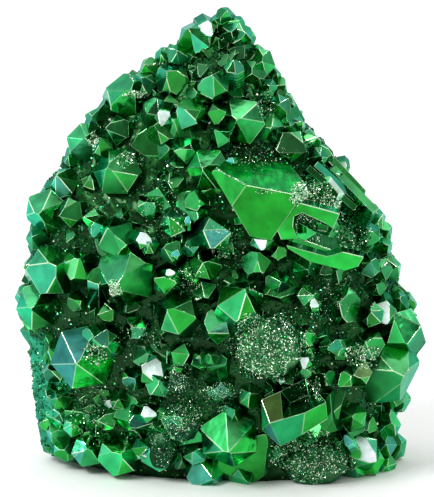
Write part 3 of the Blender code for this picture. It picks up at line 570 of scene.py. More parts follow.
# Surroundings: light from where no panel is, then soft panels as a direction, the angles within
# which each is full and outside which it is dark, in degrees, and its strength.
DIM_LEVEL = 0.18
PANELS = (
    (-0.4, 0.85, 0.2, 30.0, 75.0, 0.80),
    (-0.9, -0.1, 0.25, 16.0, 34.0, 0.60),
    (0.8, 0.5, 0.1, 15.0, 45.0, 0.50),
    (0.9, -0.2, 0.2, 8.0, 20.0, 0.62),
    (0.1, 0.1, 1.0, 24.0, 54.0, 1.00),
    (-0.25, -0.75, 0.75, 8.0, 18.0, 0.72),
    (-0.6, -0.7, 0.05, 6.0, 16.0, 0.62),
    (0.35, -0.9, 0.35, 5.0, 12.0, 0.62),
)
PALE_SKY = 0.95

# Fine druse on the matrix that still shows: smallest and largest radius, tries from around the mound
# and from the front view, tilt, crowding, tone, share of pale golden points, partly golden film and
# partly painted sparkle, blur, and the heights of the rim and the tip of a point in its radii. A point
# keeps
# GRAIN_REACH radii inside the solid's box and GRAIN_SINK radii above the ground.
DRUSE_SIZES = (0.12, 0.36)
DRUSE_TRIES = (16000, 12000)
DRUSE_TILT = 0.5
DRUSE_CROWDING = 0.75
DRUSE_TONE = 0.5
DRUSE_GOLD_SPARKLE = 0.07
DRUSE_BLUR = 0.2
DRUSE_RIM = (-0.15, 0.25)
DRUSE_TIP = (1.0, 1.5)
GRAIN_REACH = 1.6
GRAIN_SINK = 1.2

# Matrix is looked for around the mound from REACH outside it, up to the height AROUND_TOP.
REACH = 16.0
AROUND_TOP = 88.0

# Share of pale golden points, partly painted sparkle, in patches that also cover the plates and the
# hollow crystal.
PLATE_GOLD_SPARKLE = 0.75

# Druse patches in the front view: middle x, middle h, half width, half height, smallest and largest
# radius of the points, tries, and the share of pale golden points, whose pale colour is partly golden
# film and partly painted sparkle.
PATCHES = (
    (10.2, 23.0, 7.4, 7.4, 0.10, 0.22, 8600, 0.34),
    (19.4, -1.4, 7.4, 5.2, 0.09, 0.20, 5600, 0.34),
    (20.2, 53.0, 4.6, 3.6, 0.11, 0.24, 2600, 0.50),
    (24.8, 51.0, 3.2, 2.4, 0.11, 0.24, 1500, 0.50),
    (18.8, 46.8, 3.4, 2.8, 0.12, 0.24, 1000, 0.40),
    (28.6, 45.4, 3.2, 3.6, 0.10, 0.24, 1300, 0.25),
    (-6.8, 7.6, 4.0, 4.2, 0.07, 0.14, 2200, 0.30),
    (-10.8, 2.8, 3.6, 5.0, 0.07, 0.14, 1800, 0.14),
    (-7.8, 15.6, 2.6, 2.8, 0.07, 0.14, 700, 0.36),
    (1.4, 12.6, 4.4, 1.8, 0.06, 0.14, 500, 0.5),
    (-3.4, 11.2, 8.0, 3.0, 0.07, 0.16, 1100, 0.25),
    (-25.4, 20.8, 2.6, 2.2, 0.12, 0.24, 420, 0.45),
    (-21.2, 34.2, 1.3, 2.0, 0.10, 0.22, 300, 0.8),
    (-26.0, 65.2, 1.0, 1.7, 0.10, 0.22, 240, 0.8),
    (-16.8, 75.0, 2.4, 0.9, 0.10, 0.22, 240, 0.8),
    (-18.6, 61.2, 3.2, 1.8, 0.10, 0.22, 360, 0.4),
    (10.2, 72.6, 1.6, 3.0, 0.12, 0.26, 400, 0.25),
    (30.0, 20.2, 3.2, 2.8, 0.10, 0.22, 900, 0.6),
    (10.2, 54.4, 2.6, 0.5, 0.08, 0.16, 120, 0.5),
    (16.0, 54.0, 1.0, 2.0, 0.08, 0.18, 160, 0.5),
    (-12.0, 51.5, 5.0, 6.0, 0.06, 0.14, 260, 0.8),
    (2.4, 43.0, 4.0, 5.0, 0.06, 0.14, 220, 0.8),
    (-16.0, 24.0, 5.0, 3.0, 0.06, 0.14, 200, 0.8),
    (22.0, 32.0, 5.0, 6.0, 0.06, 0.14, 220, 0.8),
    (8.0, 62.0, 6.0, 3.0, 0.06, 0.14, 220, 0.8),
    (-6.0, 36.0, 3.0, 3.0, 0.06, 0.14, 160, 0.8),
    (14.0, 21.0, 9.0, 8.0, 0.06, 0.15, 400, 0.8),
    (17.4, 13.4, 3.6, 2.4, 0.07, 0.14, 90, PLATE_GOLD_SPARKLE),
    (20.8, 13.6, 0.8, 2.6, 0.10, 0.24, 200, PLATE_GOLD_SPARKLE),
    (-27.0, 8.0, 5.0, 6.0, 0.06, 0.15, 300, 0.8),
)

# Points of patches: crowding, width of the cells they are looked up in, tone, how much they crowd
# towards the middle, how ragged the rim is and with how many lobes, and how far they turn to the
# viewer.
PATCH_CROWDING = 0.62
PATCH_CELL = 1.2
PATCH_TONE = 0.6
PATCH_CROWD_IN = 0.6
PATCH_RAGGED = 0.6
PATCH_LOBES = 1.5
PATCH_TURN = 0.3

# Rounded lumps that druse covers: middle x, middle h, half width, half height, depth, lift of the
# middle over the mound, and film colour. The first of them stand in for blunt crystals.
LUMPS = (
    (10.2, 23.0, 6.2, 6.2, 3.6, 1.0, Vector((0.050, 0.150, 0.055))),
    (19.4, -0.8, 6.4, 4.2, 3.4, 1.4, Vector((0.034, 0.110, 0.040))),
    (-6.8, 7.6, 3.1, 3.5, 3.0, 1.8, Vector((0.009, 0.036, 0.020))),
    (-10.8, 2.8, 3.0, 4.2, 3.0, 1.6, Vector((0.010, 0.044, 0.018))),
    (-7.8, 15.6, 2.0, 2.2, 2.2, 2.0, Vector((0.010, 0.036, 0.022))),
)
LUMPS_FOR_BLUNTS = 2

# Shape of a lump: cuts of the ball, its swell and the scale of that, and the step by which it moves
# back into the solid's box. Then the mottle of its film, and where the places on it lie that should
# stay in view: parts of its half size and of its depth.
LUMP_CUTS = 4
LUMP_SWELL = 0.16
LUMP_SCALE = 1.6
LUMP_STEP = 0.1
LUMP_MOTTLE = 0.5
LUMP_MOTTLE_SCALE = 0.5
LUMP_RIM = 0.6
LUMP_FALL = 0.25

# Plates of the skeletal crystal: lift of the plate over the mound at its first corner, how its
# face is turned (right and up, in degrees), thickness, and its outline in the front view.
PLATES = (
    (6.4, 4.0, -24.0, 2.6, (
        (12.8, 44.2), (12.0, 46.2), (13.0, 49.4), (14.4, 51.2), (16.6, 51.6), (24.6, 49.4),
        (23.2, 46.4), (21.8, 47.4), (17.0, 49.6), (15.4, 48.8), (15.2, 46.8), (16.2, 44.4),
    )),
    (6.4, 4.0, -24.0, 2.6, (
        (13.8, 43.2), (20.2, 41.4), (22.0, 40.9), (25.2, 41.8), (29.4, 40.8), (28.2, 38.8),
        (25.6, 38.0), (18.6, 39.8), (14.2, 42.4),
    )),
    (5.2, -20.0, -10.0, 1.4, ((16.4, 47.6), (20.0, 45.6), (17.6, 44.0), (15.8, 44.6))),
    (5.0, 20.0, 10.0, 1.2, ((20.2, 47.6), (22.4, 47.0), (22.0, 45.8), (20.0, 46.2))),
    (3.4, 20.0, 6.0, 5.0, ((17.8, 58.2), (18.6, 59.2), (28.2, 51.0), (27.4, 50.0))),
    (3.2, 46.0, 26.0, 5.0, ((19.4, 59.0), (20.2, 60.0), (29.8, 51.8), (29.0, 50.8))),
    (2.8, 34.0, 40.0, 5.0, ((22.6, 58.4), (23.8, 59.2), (32.4, 50.6), (31.2, 49.6))),
)

# Hollowed crystal near the foot: corners of its front as x, h and lift over the mound at its first
# corner, and the faces between them.
HOLLOW_CORNERS = (
    (8.8, 12.3, 4.6), (12.7, 14.0, 4.2), (17.7, 16.5, 3.6), (21.8, 11.8, 4.6), (10.5, 7.6, 7.0),
    (13.2, 8.4, 6.9), (12.7, 2.9, 3.8), (22.2, 8.4, 3.0), (9.0, 6.2, 3.4), (14.6, 11.6, 0.6),
    (18.4, 13.2, 0.2), (17.6, 9.7, 6.0), (17.0, 5.2, 3.6),
)
HOLLOW_FACES = (
    (0, 4, 5, 1), (0, 8, 4), (8, 6, 4), (4, 6, 12, 11, 5), (11, 12, 7, 3), (1, 5, 9), (1, 9, 10, 2),
    (2, 10, 3), (5, 11, 10, 9), (11, 3, 10),
)
HOLLOW_DEPTH = 9.0
PLATE_CHAMFER = 4.4

# Extra side of the largest crystal: direction in the front view, distance from its tip.
GIANT_CUT = (211.0, 4.5)

# Matrix: cuts of each coarse triangle, height and scale of its fine relief, then how fast it breaks
# up towards the back, and the height, slope and scale of the broken blocks there.
MATRIX_CUTS = 9
MATRIX_RELIEF = 0.5
RELIEF_SCALE = 0.55
RELIEF_LAYERS = (0.9, 2.1, 4)
BACK_RATE = 1.6
BACK_RELIEF = 1.3
BLOCK_SLOPE = 0.9
BLOCK_SEED_SCALE = 7.0
BROKEN_SCALE = 0.16

# Film of the matrix, a darker share of the painted shade colour of the gaps, mottled, and left of
# CORNER_EDGE on the bare corner.
MATRIX_TONE = 0.30
MATRIX_MOTTLE = 0.6
MATRIX_MOTTLE_SCALE = 0.2
MATRIX_BLUR = 0.9
CORNER_EDGE = -29.0
CORNER_TONE = 0.7
CORNER_MOTTLE_SCALE = 0.4

# Facets whose film stands out, by a place on each in the front view: x, h, how far from that
# place it has this colour, the colour, and how far its shading is turned to the viewer. The colours are
# film and painted light
# at once: rows in the dark painted shade colour paint shade inside the hollow crystal and on a few dark
# facets elsewhere, and the silver rows and the greens made brighter than the plain green paint
# highlights. Facets that are turned have upright streaks. All points within SAME_PLANE of the facet's
# plane take part.
SAME_PLANE = 0.6
SAME_WAY = 0.999
STREAK_SCALE = 0.32
STREAK_STRENGTH = 2.4
TINTED_FACETS = (
    (7.6, 50.6, 30.0, LEAF_GREEN, 0.0), (1.8, 54.6, 30.0, GREEN, 0.0),
    (8.2, 57.4, 30.0, GREEN * 0.62, 0.15),
    (21.6, 40.6, 20.0, GREEN, 0.0), (17.6, 50.0, 5.0, LEAF_GREEN, 0.0), (13.2, 47.6, 4.0, TEAL, 0.0),
    (14.6, 5.8, 20.0, SEA_GREEN, 0.0), (18.4, 9.8, 20.0, SEA_GREEN, 0.0),
    (10.6, 5.4, 20.0, BLUE * 0.6, 0.0), (11.6, 11.4, 20.0, OLIVE * 0.8, 0.0),
    (14.8, 14.4, 20.0, PAINTED_SHADE * 0.15, 0.0), (17.4, 14.6, 20.0, PAINTED_SHADE * 0.15, 0.0),
    (16.0, 11.4, 20.0, PAINTED_SHADE * 0.15, 0.0), (18.4, 12.4, 20.0, PAINTED_SHADE * 0.15, 0.0),
    (20.0, 12.6, 20.0, GREEN * 0.4, 0.0),
    (-0.2, 6.6, 6.0, LOW_GREEN, 0.0), (-1.0, 4.2, 6.0, LOW_GREEN, 0.0),
    (3.8, 6.6, 6.0, PAINTED_SHADE * 0.3, 0.0), (6.2, 4.2, 6.0, GREEN * 1.2, 0.0),
    (-29.8, 23.2, 20.0, BLUE * 0.75, 0.0), (-31.8, 22.2, 20.0, BLUE * 0.75, 0.0),
    (-30.4, 16.2, 20.0, BLUE * 0.75, 0.0), (-25.4, 17.8, 20.0, GREEN * 2.1, 0.0),
    (-25.4, 15.2, 20.0, GREEN * 1.6, 0.0),
    (-34.4, 37.8, 20.0, TEAL, 0.0), (-31.4, 39.8, 20.0, DEEP_GREEN * 1.5, 0.0),
    (-4.4, 87.0, 20.0, TEAL * 1.3, 0.0), (-5.0, 83.4, 20.0, LEAF_GREEN, 0.0),
    (30.6, 17.8, 20.0, GOLDEN * 0.7, 0.0), (36.6, 20.2, 20.0, PALE_GREEN, 0.0),
    (2.2, 32.6, 20.0, LEAF_GREEN, 0.0), (6.2, 32.6, 20.0, LEAF_GREEN, 0.0),
    (-12.5, 70.4, 20.0, PALE_GREEN * 0.6, 0.1), (-26.7, 54.6, 20.0, PALE_GREEN, 0.1),
    (-1.6, 80.6, 20.0, PALE_GREEN * 0.7, 0.1), (23.0, 54.6, 20.0, DEEP_GREEN, 0.0),
    (24.6, 55.4, 20.0, PAINTED_SILVER_HIGHLIGHT, 0.0), (27.6, 54.4, 20.0, TEAL, 0.0),
    (25.4, 52.6, 20.0, PAINTED_SILVER_HIGHLIGHT, 0.0), (-5.8, 64.0, 20.0, PAINTED_SHADE, 0.0),
    (-4.4, 58.0, 20.0, PAINTED_SHADE, 0.0), (-25.4, 47.8, 20.0, PAINTED_SHADE, 0.0),
)


def row_at(rows, height):
    """Values of a table at a height, straight between its rows, or nothing above the last row."""
    below = rows[0]
    for above in rows[1:]:
        if height <= above[0]:
            part = max(0.0, (height - below[0]) / (above[0] - below[0]))
            return [low + (high - low) * part for low, high in zip(below, above)]
        below = above
    return None


def section_at(height):
    """Left edge, right edge, front depth and back depth of the mound at a height."""
    return (row_at(MOUND_SECTIONS, height) or MOUND_SECTIONS[-1])[1:]


def mound_point(turn, height):
    """Point of the smooth mound: turn goes once around it, with the front at minus 90 degrees."""
    left, right, front, back = section_at(height)
    x = 0.5 * (left + right) + 0.5 * (right - left) * math.cos(turn)
    if math.sin(turn) < 0.0:
        y = front * math.sin(turn) * (1.0 + FRONT_SKEW * math.cos(turn))
    else:
        y = back * math.sin(turn)
    return Vector((x, y, height))


def mound_normal(turn, height):
    """Direction square to the smooth mound."""
    along = mound_point(turn + TURN_STEP, height) - mound_point(turn - TURN_STEP, height)
    up = mound_point(turn, height + HEIGHT_STEP) - mound_point(turn, height - HEIGHT_STEP)
    return along.cross(up).normalized()


def mound_depth(x, height):
    """How far the smooth mound reaches forward at x, nothing beyond its edges."""
    left, right = section_at(height)[:2]
    across = min(1.0, max(-1.0, (2.0 * x - left - right) / (right - left)))
    return -mound_point(-math.acos(across), height).y


def on_sight_line(x, h, y):
    """Point at depth y on the sight line through (x, h) of the front view."""
    seen = AIM + ACROSS * x + UPWARD * (h - AIM_HEIGHT * math.cos(SIGHT_TILT))
    return EYE + (seen - EYE) * ((y - EYE.y) / (seen.y - EYE.y))


def seen_in_view(tree, x, h):
    """What shows at (x, h) of the front view: place, direction and number of the face."""
    return tree.ray_cast(on_sight_line(x, h, VIEW_START), -OUTWARD, VIEW_REACH)[:3]


def scatter(chance, spread):
    """Small move in any direction."""
    return Vector([chance.gauss(0.0, spread) for _ in range(3)])


def any_direction(chance):
    """Vector that points anywhere."""
    return Vector([chance.uniform(-1.0, 1.0) for _ in range(3)])


def on_mound(x, h):
    """Point of the smooth mound that shows at (x, h) in the front view."""
    y = 0.0
    for _ in range(SIGHT_STEPS):
        point = on_sight_line(x, h, y)
        y = 0.5 * (y - mound_depth(point.x, point.z))
    return on_sight_line(x, h, y)


def cut_face(bm, point, normal):
    """Cut a closed mesh by a plane and close it again with one flat face."""
    whole = bm.verts[:] + bm.edges[:] + bm.faces[:]
    cut = bmesh.ops.bisect_plane(bm, geom=whole, plane_co=point, plane_no=normal, clear_outer=True)
    rim = [item for item in cut["geom_cut"] if isinstance(item, bmesh.types.BMEdge)]
    if rim:
        bmesh.ops.contextual_create(bm, geom=rim)


def in_order(bm):
    """The same mesh with its faces in an order that doesn't change from run to run."""
    bm.verts.index_update()
    faces = [[vert.index for vert in face.verts] for face in bm.faces]
    ordered = bmesh.new()
    verts = [ordered.verts.new(vert.co) for vert in bm.verts]
    bm.free()
    for corners in sorted(faces):
        ordered.faces.new([verts[number] for number in corners])
    return ordered


def prism_mesh(radius, length, top):
    """Six-sided prism that runs down -Z from the given top height."""
    bm = bmesh.new()
    bmesh.ops.create_cone(
        bm, cap_ends=True, segments=6, radius1=radius, radius2=radius, depth=length,
        matrix=Matrix.Translation((0.0, 0.0, top - 0.5 * length)),
    )
    return bm


def point_mesh(radius, length, chance):
    """Six-sided quartz point with its tip at the origin and its prism running down -Z.

    The tip is a little off the middle and the shoulder corners are at uneven heights.
    """
    height = POINT_HEIGHT * radius
    bm = prism_mesh(radius, length - height, -height)
    cap = max(bm.faces, key=lambda face: face.calc_center_median().z)
    for corner in cap.verts:
        corner.co.z += radius * chance.uniform(-CORNER_RISE, CORNER_RISE)
    tip = bmesh.ops.poke(bm, faces=[cap])["verts"][0]
    shift = TIP_SHIFT * radius
    tip.co = Vector((chance.uniform(-shift, shift), chance.uniform(-shift, shift), 0.0))
    return bm


def end_normal(degrees):
    """Direction square to an end face of a point whose long axis is local Z."""
    turn = math.radians(degrees)
    across = math.sin(FACE_LEAN)
    return Vector((across * math.cos(turn), across * math.sin(turn), math.cos(FACE_LEAN)))


def grown_point_mesh(radius, length, chance, contrast, kept=1.0):
    """Large quartz point, tip at the origin, with unlike end faces as they grow in nature.

    kept is the part of the pointed end that is left: below 1, a flat face cuts off the tip.
    """
    bm = prism_mesh(radius, length, 0.0)
    for side in range(6):
        inset = radius * (contrast * (side % 2) + chance.uniform(LEAST_INSET, MOST_INSET))
        normal = end_normal(60.0 * side)
        cut_face(bm, -normal * inset, normal)
    if kept < 1.0:
        cut_face(bm, Vector((0.0, 0.0, -POINT_HEIGHT * radius * (1.0 - kept))), Vector((0.0, 0.0, 1.0)))
    return bm


def giant_mesh(length):
    """The largest crystal, cut from a block plane by plane, tip at the origin."""
    bm = bmesh.new()
    bmesh.ops.create_cube(bm, size=2.0 * length)
    cut_face(bm, Vector((0.0, 0.0, -length)), Vector((0.0, 0.0, -1.0)))
    for degrees, distance in GIANT_SIDES:
        turn = math.radians(degrees)
        normal = Vector((math.cos(turn), math.sin(turn), 0.0))
        cut_face(bm, normal * distance, normal)
    for degrees, distance in GIANT_ENDS:
        normal = end_normal(degrees)
        cut_face(bm, normal * distance, normal)
    return bm


def ring_mesh(rings):
    """Six-sided closed mesh through rings of (radius, height), from its foot to its last ring."""
    bm = bmesh.new()
    before = None
    for radius, height in rings:
        ring = []
        for side in range(6):
            turn = math.radians(60.0 * side + 30.0)
            ring.append(bm.verts.new((radius * math.cos(turn), radius * math.sin(turn), height)))
        if before is None:
            bm.faces.new(ring[::-1])
        else:
            for side in range(6):
                following = (side + 1) % 6
                bm.faces.new((before[side], before[following], ring[following], ring[side]))
        before = ring
    bm.faces.new(before)
    return bm


def frame_along(axis, corner, place):
    """Matrix that turns local Z to the axis and local Y to the corner direction."""
    corner = (corner - axis * corner.dot(axis)).normalized()
    side = corner.cross(axis)
    turn = Matrix((side, corner, axis)).transposed().to_4x4()
    return Matrix.Translation(place) @ turn


def view_direction(degrees):
    """Direction in the plane of the front view."""
    angle = math.radians(degrees)
    return ACROSS * math.cos(angle) + UPWARD * math.sin(angle)


def corner_direction(degrees, axis):
    """Direction square to the axis that shows at this angle in the front view."""
    flat = view_direction(degrees)
    return flat - OUTWARD * (flat.dot(axis) / OUTWARD.dot(axis))


def tilted_axis(lean_x, lean_h, height):
    """Axis of a point whose tip lies this far from its shoulders' middle in the front view."""
    slant = min(MOST_SLANT, math.hypot(lean_x, lean_h) / height)
    across = (ACROSS * lean_x + UPWARD * lean_h).normalized() * slant
    return across + OUTWARD * math.sqrt(1.0 - slant * slant)


def stand_on_mound(x, h, radius, turn, stand, chance, lean=(0.0, 0.0), contrast=None, kept=1.0):
    """One crystal whose shoulders' middle shows at (x, h), that middle, and its frame.

    A crystal with a contrast has its end faces cut one by one.
    """
    height = POINT_HEIGHT * radius
    axis = tilted_axis(lean[0], lean[1], height)
    middle = on_mound(x, h) + OUTWARD * stand
    if contrast is None:
        bm = point_mesh(radius, height + stand + ROOT, chance)
    else:
        bm = grown_point_mesh(radius, height + stand + ROOT, chance, contrast, kept)
    grown = frame_along(axis, corner_direction(turn, axis), middle + axis * height)
    bm.transform(grown)
    return bm, middle, grown


def giant_point():
    """The largest crystal in its place, the middle of its foot, and its frame."""
    axis = tilted_axis(GIANT_LEAN[0], GIANT_LEAN[1], 1.0)
    tip = on_mound(*GIANT_TIP) + OUTWARD * GIANT_STAND
    bm = giant_mesh(GIANT_STAND + GIANT_ROOT)
    grown = frame_along(axis, corner_direction(90.0, axis), tip)
    bm.transform(grown)
    return bm, tip - axis * GIANT_STAND, grown


def hollow_point(x, h, lean, radius, turn, stand, stretch, direction):
    """Crystal with a flat end stretched along one direction, and a six-sided hollow in that end."""
    axis = tilted_axis(lean[0], lean[1], POINT_HEIGHT * radius)
    rings = [(1.0, -(stand + ROOT) / radius)]
    rings.extend(HOLLOW_RINGS)
    bm = ring_mesh([(part * radius, height * radius) for part, height in rings])
    place = on_mound(x, h) + OUTWARD * stand
    grown = frame_along(axis, corner_direction(turn, axis), place)
    bm.transform(frame_along(axis, corner_direction(turn, axis), Vector()))
    bm.transform(Matrix.Scale(stretch, 4, view_direction(direction)))
    bm.transform(Matrix.Translation(place))
    return bm, place, grown


def lying_prism(x, h, far_x, far_h, radius, chance):
    """Long crystal that lies half sunk in the surface, with its point at the far end."""
    start, end = on_mound(x, h), on_mound(far_x, far_h)
    axis = (end - start).normalized()
    bm = point_mesh(radius, (end - start).length, chance)
    grown = frame_along(axis, OUTWARD, end)
    bm.transform(grown)
    return bm, (start + end) * 0.5, grown


def placed_points(chance):
    """All listed crystals: mesh, middle, radius, frame, and whether its ends get uneven."""
    points = []
    for x, h, lean_x, lean_h, radius, turn, stand, contrast in LARGE_CRYSTALS:
        bm, middle, grown = stand_on_mound(
            x - lean_x, h - lean_h, radius, turn, stand, chance, (lean_x, lean_h), contrast)
        points.append((bm, middle, radius, grown, False))
    bm, middle, grown = giant_point()
    points.append((bm, middle, GIANT_SIDES[0][1], grown, False))
    for x, h, lean_x, lean_h, radius, turn, stand in FRONT_CRYSTALS:
        lean = (lean_x, lean_h)
        bm, middle, grown = stand_on_mound(x - lean_x, h - lean_h, radius, turn, stand, chance, lean)
        points.append((bm, middle, radius, grown, True))
    for x, h, radius, turn, stand, kept in BLUNT_CRYSTALS:
        bm, middle, grown = stand_on_mound(x, h, radius, turn, stand, chance, contrast=0.0, kept=kept)
        points.append((bm, middle, radius, grown, False))
    for x, h, lean_x, lean_h, radius, turn, stand, stretch, direction in HOLLOW_CRYSTALS:
        bm, middle, grown = hollow_point(x, h, (lean_x, lean_h), radius, turn, stand, stretch, direction)
        points.append((bm, middle, radius * stretch, grown, False))
    for x, h, far_x, far_h, radius in LYING_CRYSTALS:
        bm, middle, grown = lying_prism(x, h, far_x, far_h, radius, chance)
        points.append((bm, middle, 2.0 * radius, grown, False))
    return points


def mound_mesh():
    """Mound under the crystals: a sphere's rings pulled to the sections, rougher on the back."""
    bm = bmesh.new()
    bmesh.ops.create_uvsphere(bm, u_segments=MOUND_SIDES, v_segments=MOUND_RINGS, radius=1.0)
    foot, top = MOUND_SECTIONS[0][0], MOUND_SECTIONS[-1][0]
    for vert in bm.verts:
        rise = 1.0 - math.acos(max(-1.0, min(1.0, vert.co.z))) / math.pi
        turn = math.atan2(vert.co.y, vert.co.x)
        at_pole = math.hypot(vert.co.x, vert.co.y) < POLE_REACH
        smooth = mound_point(turn, foot + (top - foot) * rise)
        if at_pole:
            smooth.x, smooth.y = 0.0, 0.0
        back = max(0.0, math.sin(turn))
        rough = MOUND_ROUGHNESS + (BACK_ROUGHNESS - MOUND_ROUGHNESS) * back
        swell = noise.fractal(smooth * ROUGHNESS_SCALE, *ROUGHNESS_LAYERS)
        flat = Vector((math.cos(turn), math.sin(turn), 0.0))
        vert.co = smooth + flat * rough * swell
    bmesh.ops.triangulate(bm, faces=bm.faces[:])
    return in_order(bm)


def beyond_outline(point):
    """Whether a point shows outside the outline in the front view."""
    offset = point - AIM
    nearer = SIGHT_LENGTH / (SIGHT_LENGTH - offset.dot(OUTWARD))
    h = offset.dot(UPWARD) * nearer + AIM_HEIGHT * math.cos(SIGHT_TILT)
    row = row_at(FRONT_OUTLINE, h)
    x = offset.dot(ACROSS) * nearer
    return row is None or not row[1] - OUTLINE_SLACK < x < row[2] + OUTLINE_SLACK


def filling_points(placed, chance):
    """Smaller crystals in the gaps between the placed ones, and over the sides and the top.

    The middle of the back is broken rock with few crystals.
    """
    taken = [(middle, radius) for _, middle, radius, _, _ in placed]
    points = []
    for smallest, largest, stand, tries in FILLING_SIZES:
        for _ in range(tries):
            turn = chance.uniform(-math.pi, math.pi)
            height = chance.uniform(FILLING_FOOT, FILLING_TOP)
            radius = chance.uniform(smallest, largest)
            tilt = scatter(chance, FILLING_TILT)
            corner = any_direction(chance)
            lucky = chance.random()
            spot = mound_point(turn, height)
            normal = mound_normal(turn, height)
            if normal.y > BACK_LIMIT and lucky > BACK_SHARE:
                continue
            if height < BARE_CORNER_TOP and math.cos(turn) < BARE_CORNER_EDGE:
                continue
            if any((spot - other).length < CROWDING * (radius + size) for other, size in taken):
                continue
            axis = (normal + tilt).normalized()
            tall = POINT_HEIGHT * radius
            if beyond_outline(spot + axis * (stand + tall)):
                continue
            bm = point_mesh(radius, tall + stand + ROOT, chance)
            middle = spot + axis * stand
            grown = frame_along(axis, corner, middle + axis * tall)
            bm.transform(grown)
            points.append((bm, middle, radius, grown, True))
            taken.append((spot, radius))
    return points


def turn_outwards(bm):
    """Make all faces of a closed mesh point outwards."""
    bmesh.ops.recalc_face_normals(bm, faces=bm.faces[:])
    if bm.calc_volume(signed=True) < 0.0:
        bmesh.ops.reverse_faces(bm, faces=bm.faces[:])


def cut_underneath(bm):
    """Cut a mesh off at the ground and at the undercut. False if nothing of it is left."""
    for place, normal in GROUND_PLANES:
        reach = [(vert.co - place).dot(normal) for vert in bm.verts]
        if min(reach) >= 0.0:
            return False
        if max(reach) > 0.0:
            cut_face(bm, place, normal)
    return True


def uneven_ends(bm, grown, radius, chance):
    """Let some end faces of a plain point grow over the others, by cutting those deeper."""
    main = chance.randrange(2)
    for side in range(6):
        if side % 2 == main:
            inset = radius * chance.uniform(*MAIN_INSETS)
        elif chance.random() < MINOR_SHARE:
            inset = radius * chance.uniform(*MINOR_INSETS)
        else:
            continue
        normal = (grown.to_3x3() @ end_normal(60.0 * side)).normalized()
        cut_face(bm, grown.translation - normal * inset, normal)


def chamfer(bm, width, axis):
    """Chamfer the edges of a crystal that can show, and return the new narrow faces."""
    foot = {face for face in bm.faces if face.normal.dot(axis) < FOOT_FACING}
    edges = [edge for edge in bm.edges if not foot.intersection(edge.link_faces)]
    made = bmesh.ops.bevel(
        bm, geom=edges, offset=width, offset_type="OFFSET", segments=1, profile=0.5,
        affect="EDGES", clamp_overlap=True,
    )
    return set(made["faces"])


def film_color(normal, chance, tone, even=False):
    """Colour of one facet by where it faces: bluer to the left, paler upwards and darker downwards as
    painted light and shade, and never quite even.

    Large crystals have a more even film.
    """
    # Painted shade and light: darker on facets that face down, paler on those that face up.
    upright = LEAF_GREEN if normal.z < 0.0 else PALE_GREEN
    color = GREEN.lerp(upright, min(1.0, abs(normal.z) * UP_DOWN_RATE))
    teal = max(0.0, -normal.x, RIGHT_TEAL * (normal.x - RIGHT_START))
    teal += chance.gauss(0.0, EVEN_SPREAD if even else FILM_SPREAD)
    color = color.lerp(TEAL, min(1.0, max(0.0, teal)))
    if even:
        return color * chance.uniform(*EVEN_TONES)
    if chance.random() < BLUE_SHARE + BLUE_LEFT * max(0.0, -normal.x):
        color = color.lerp(BLUE, chance.uniform(*RARE_PART))
    if chance.random() < DEEP_SHARE:
        color = color.lerp(DEEP_GREEN, chance.uniform(*RARE_PART))
    elif chance.random() < PALE_SHARE:
        color = color.lerp(PALE_GREEN, chance.uniform(*PALE_PART))
    return color * tone * chance.uniform(*FILM_TONES)


def new_store():
    """Empty lists for one piece: points, faces, and what the material reads from them."""
    return {"points": [], "faces": [], "normals": [], "film": [], "gloss": [], "along": [], "edge": []}


def add_vertex(store, point, normal, color, blur, upright=0.0, along=0.0):
    """Add a point with its direction, film colour, blur, share of growth lines and place along them."""
    store["points"].append(point.copy())
    if normal is not None:
        store["normals"].append(normal.copy())
    store["film"].extend((color.x, color.y, color.z, upright))
    store["gloss"].append(blur)
    store["along"].append(along)


def add_face(store, corners, edge=0.0):
    """Add a face by the numbers of its points, with its share of the painted edge highlight."""
    store["faces"].append(corners)
    store["edge"].append(edge)


def add_faces(store, bm, first):
    """Add all faces of a mesh whose points start at this number of the piece."""
    for face in bm.faces:
        add_face(store, [first + vert.index for vert in face.verts])


def painted_gap_shade(point, ground):
    """Part of the film's colour that is left at a point under the painted shade, from its height over the
    matrix.
    """
    nearest, normal, _, _ = ground.find_nearest(point)
    part = ((point - nearest).dot(normal) - SHADE_LOW) / (SHADE_HIGH - SHADE_LOW)
    part = min(1.0, max(0.0, part))
    return SHADE_LEAST + (1.0 - SHADE_LEAST) * part * part * (3.0 - 2.0 * part)


def on_plane(x, h, anchor, normal, lift=0.0):
    """Point that shows at (x, h) in the front view, on or over a plane through the anchor."""
    away = on_sight_line(x, h, 0.0) - EYE
    return EYE + away * (((anchor - EYE).dot(normal) + lift) / away.dot(normal))


def plate_mesh(lift, right, up, thickness, outline):
    """Flat plate whose face shows this outline in the front view, where it faces, and one corner."""
    normal = OUTWARD.copy()
    normal.rotate(Matrix.Rotation(-math.radians(up), 3, "X"))
    normal.rotate(Matrix.Rotation(math.radians(right), 3, "Z"))
    anchor = on_mound(*outline[0]) + OUTWARD * lift
    front = [on_plane(x, h, anchor, normal) for x, h in outline]
    bm = bmesh.new()
    near = [bm.verts.new(point) for point in front]
    far = [bm.verts.new(point - normal * thickness) for point in front]
    bm.faces.new(near)
    bm.faces.new(far[::-1])
    for number in range(len(outline)):
        following = (number + 1) % len(outline)
        bm.faces.new((near[number], far[number], far[following], near[following]))
    return bm, normal, anchor


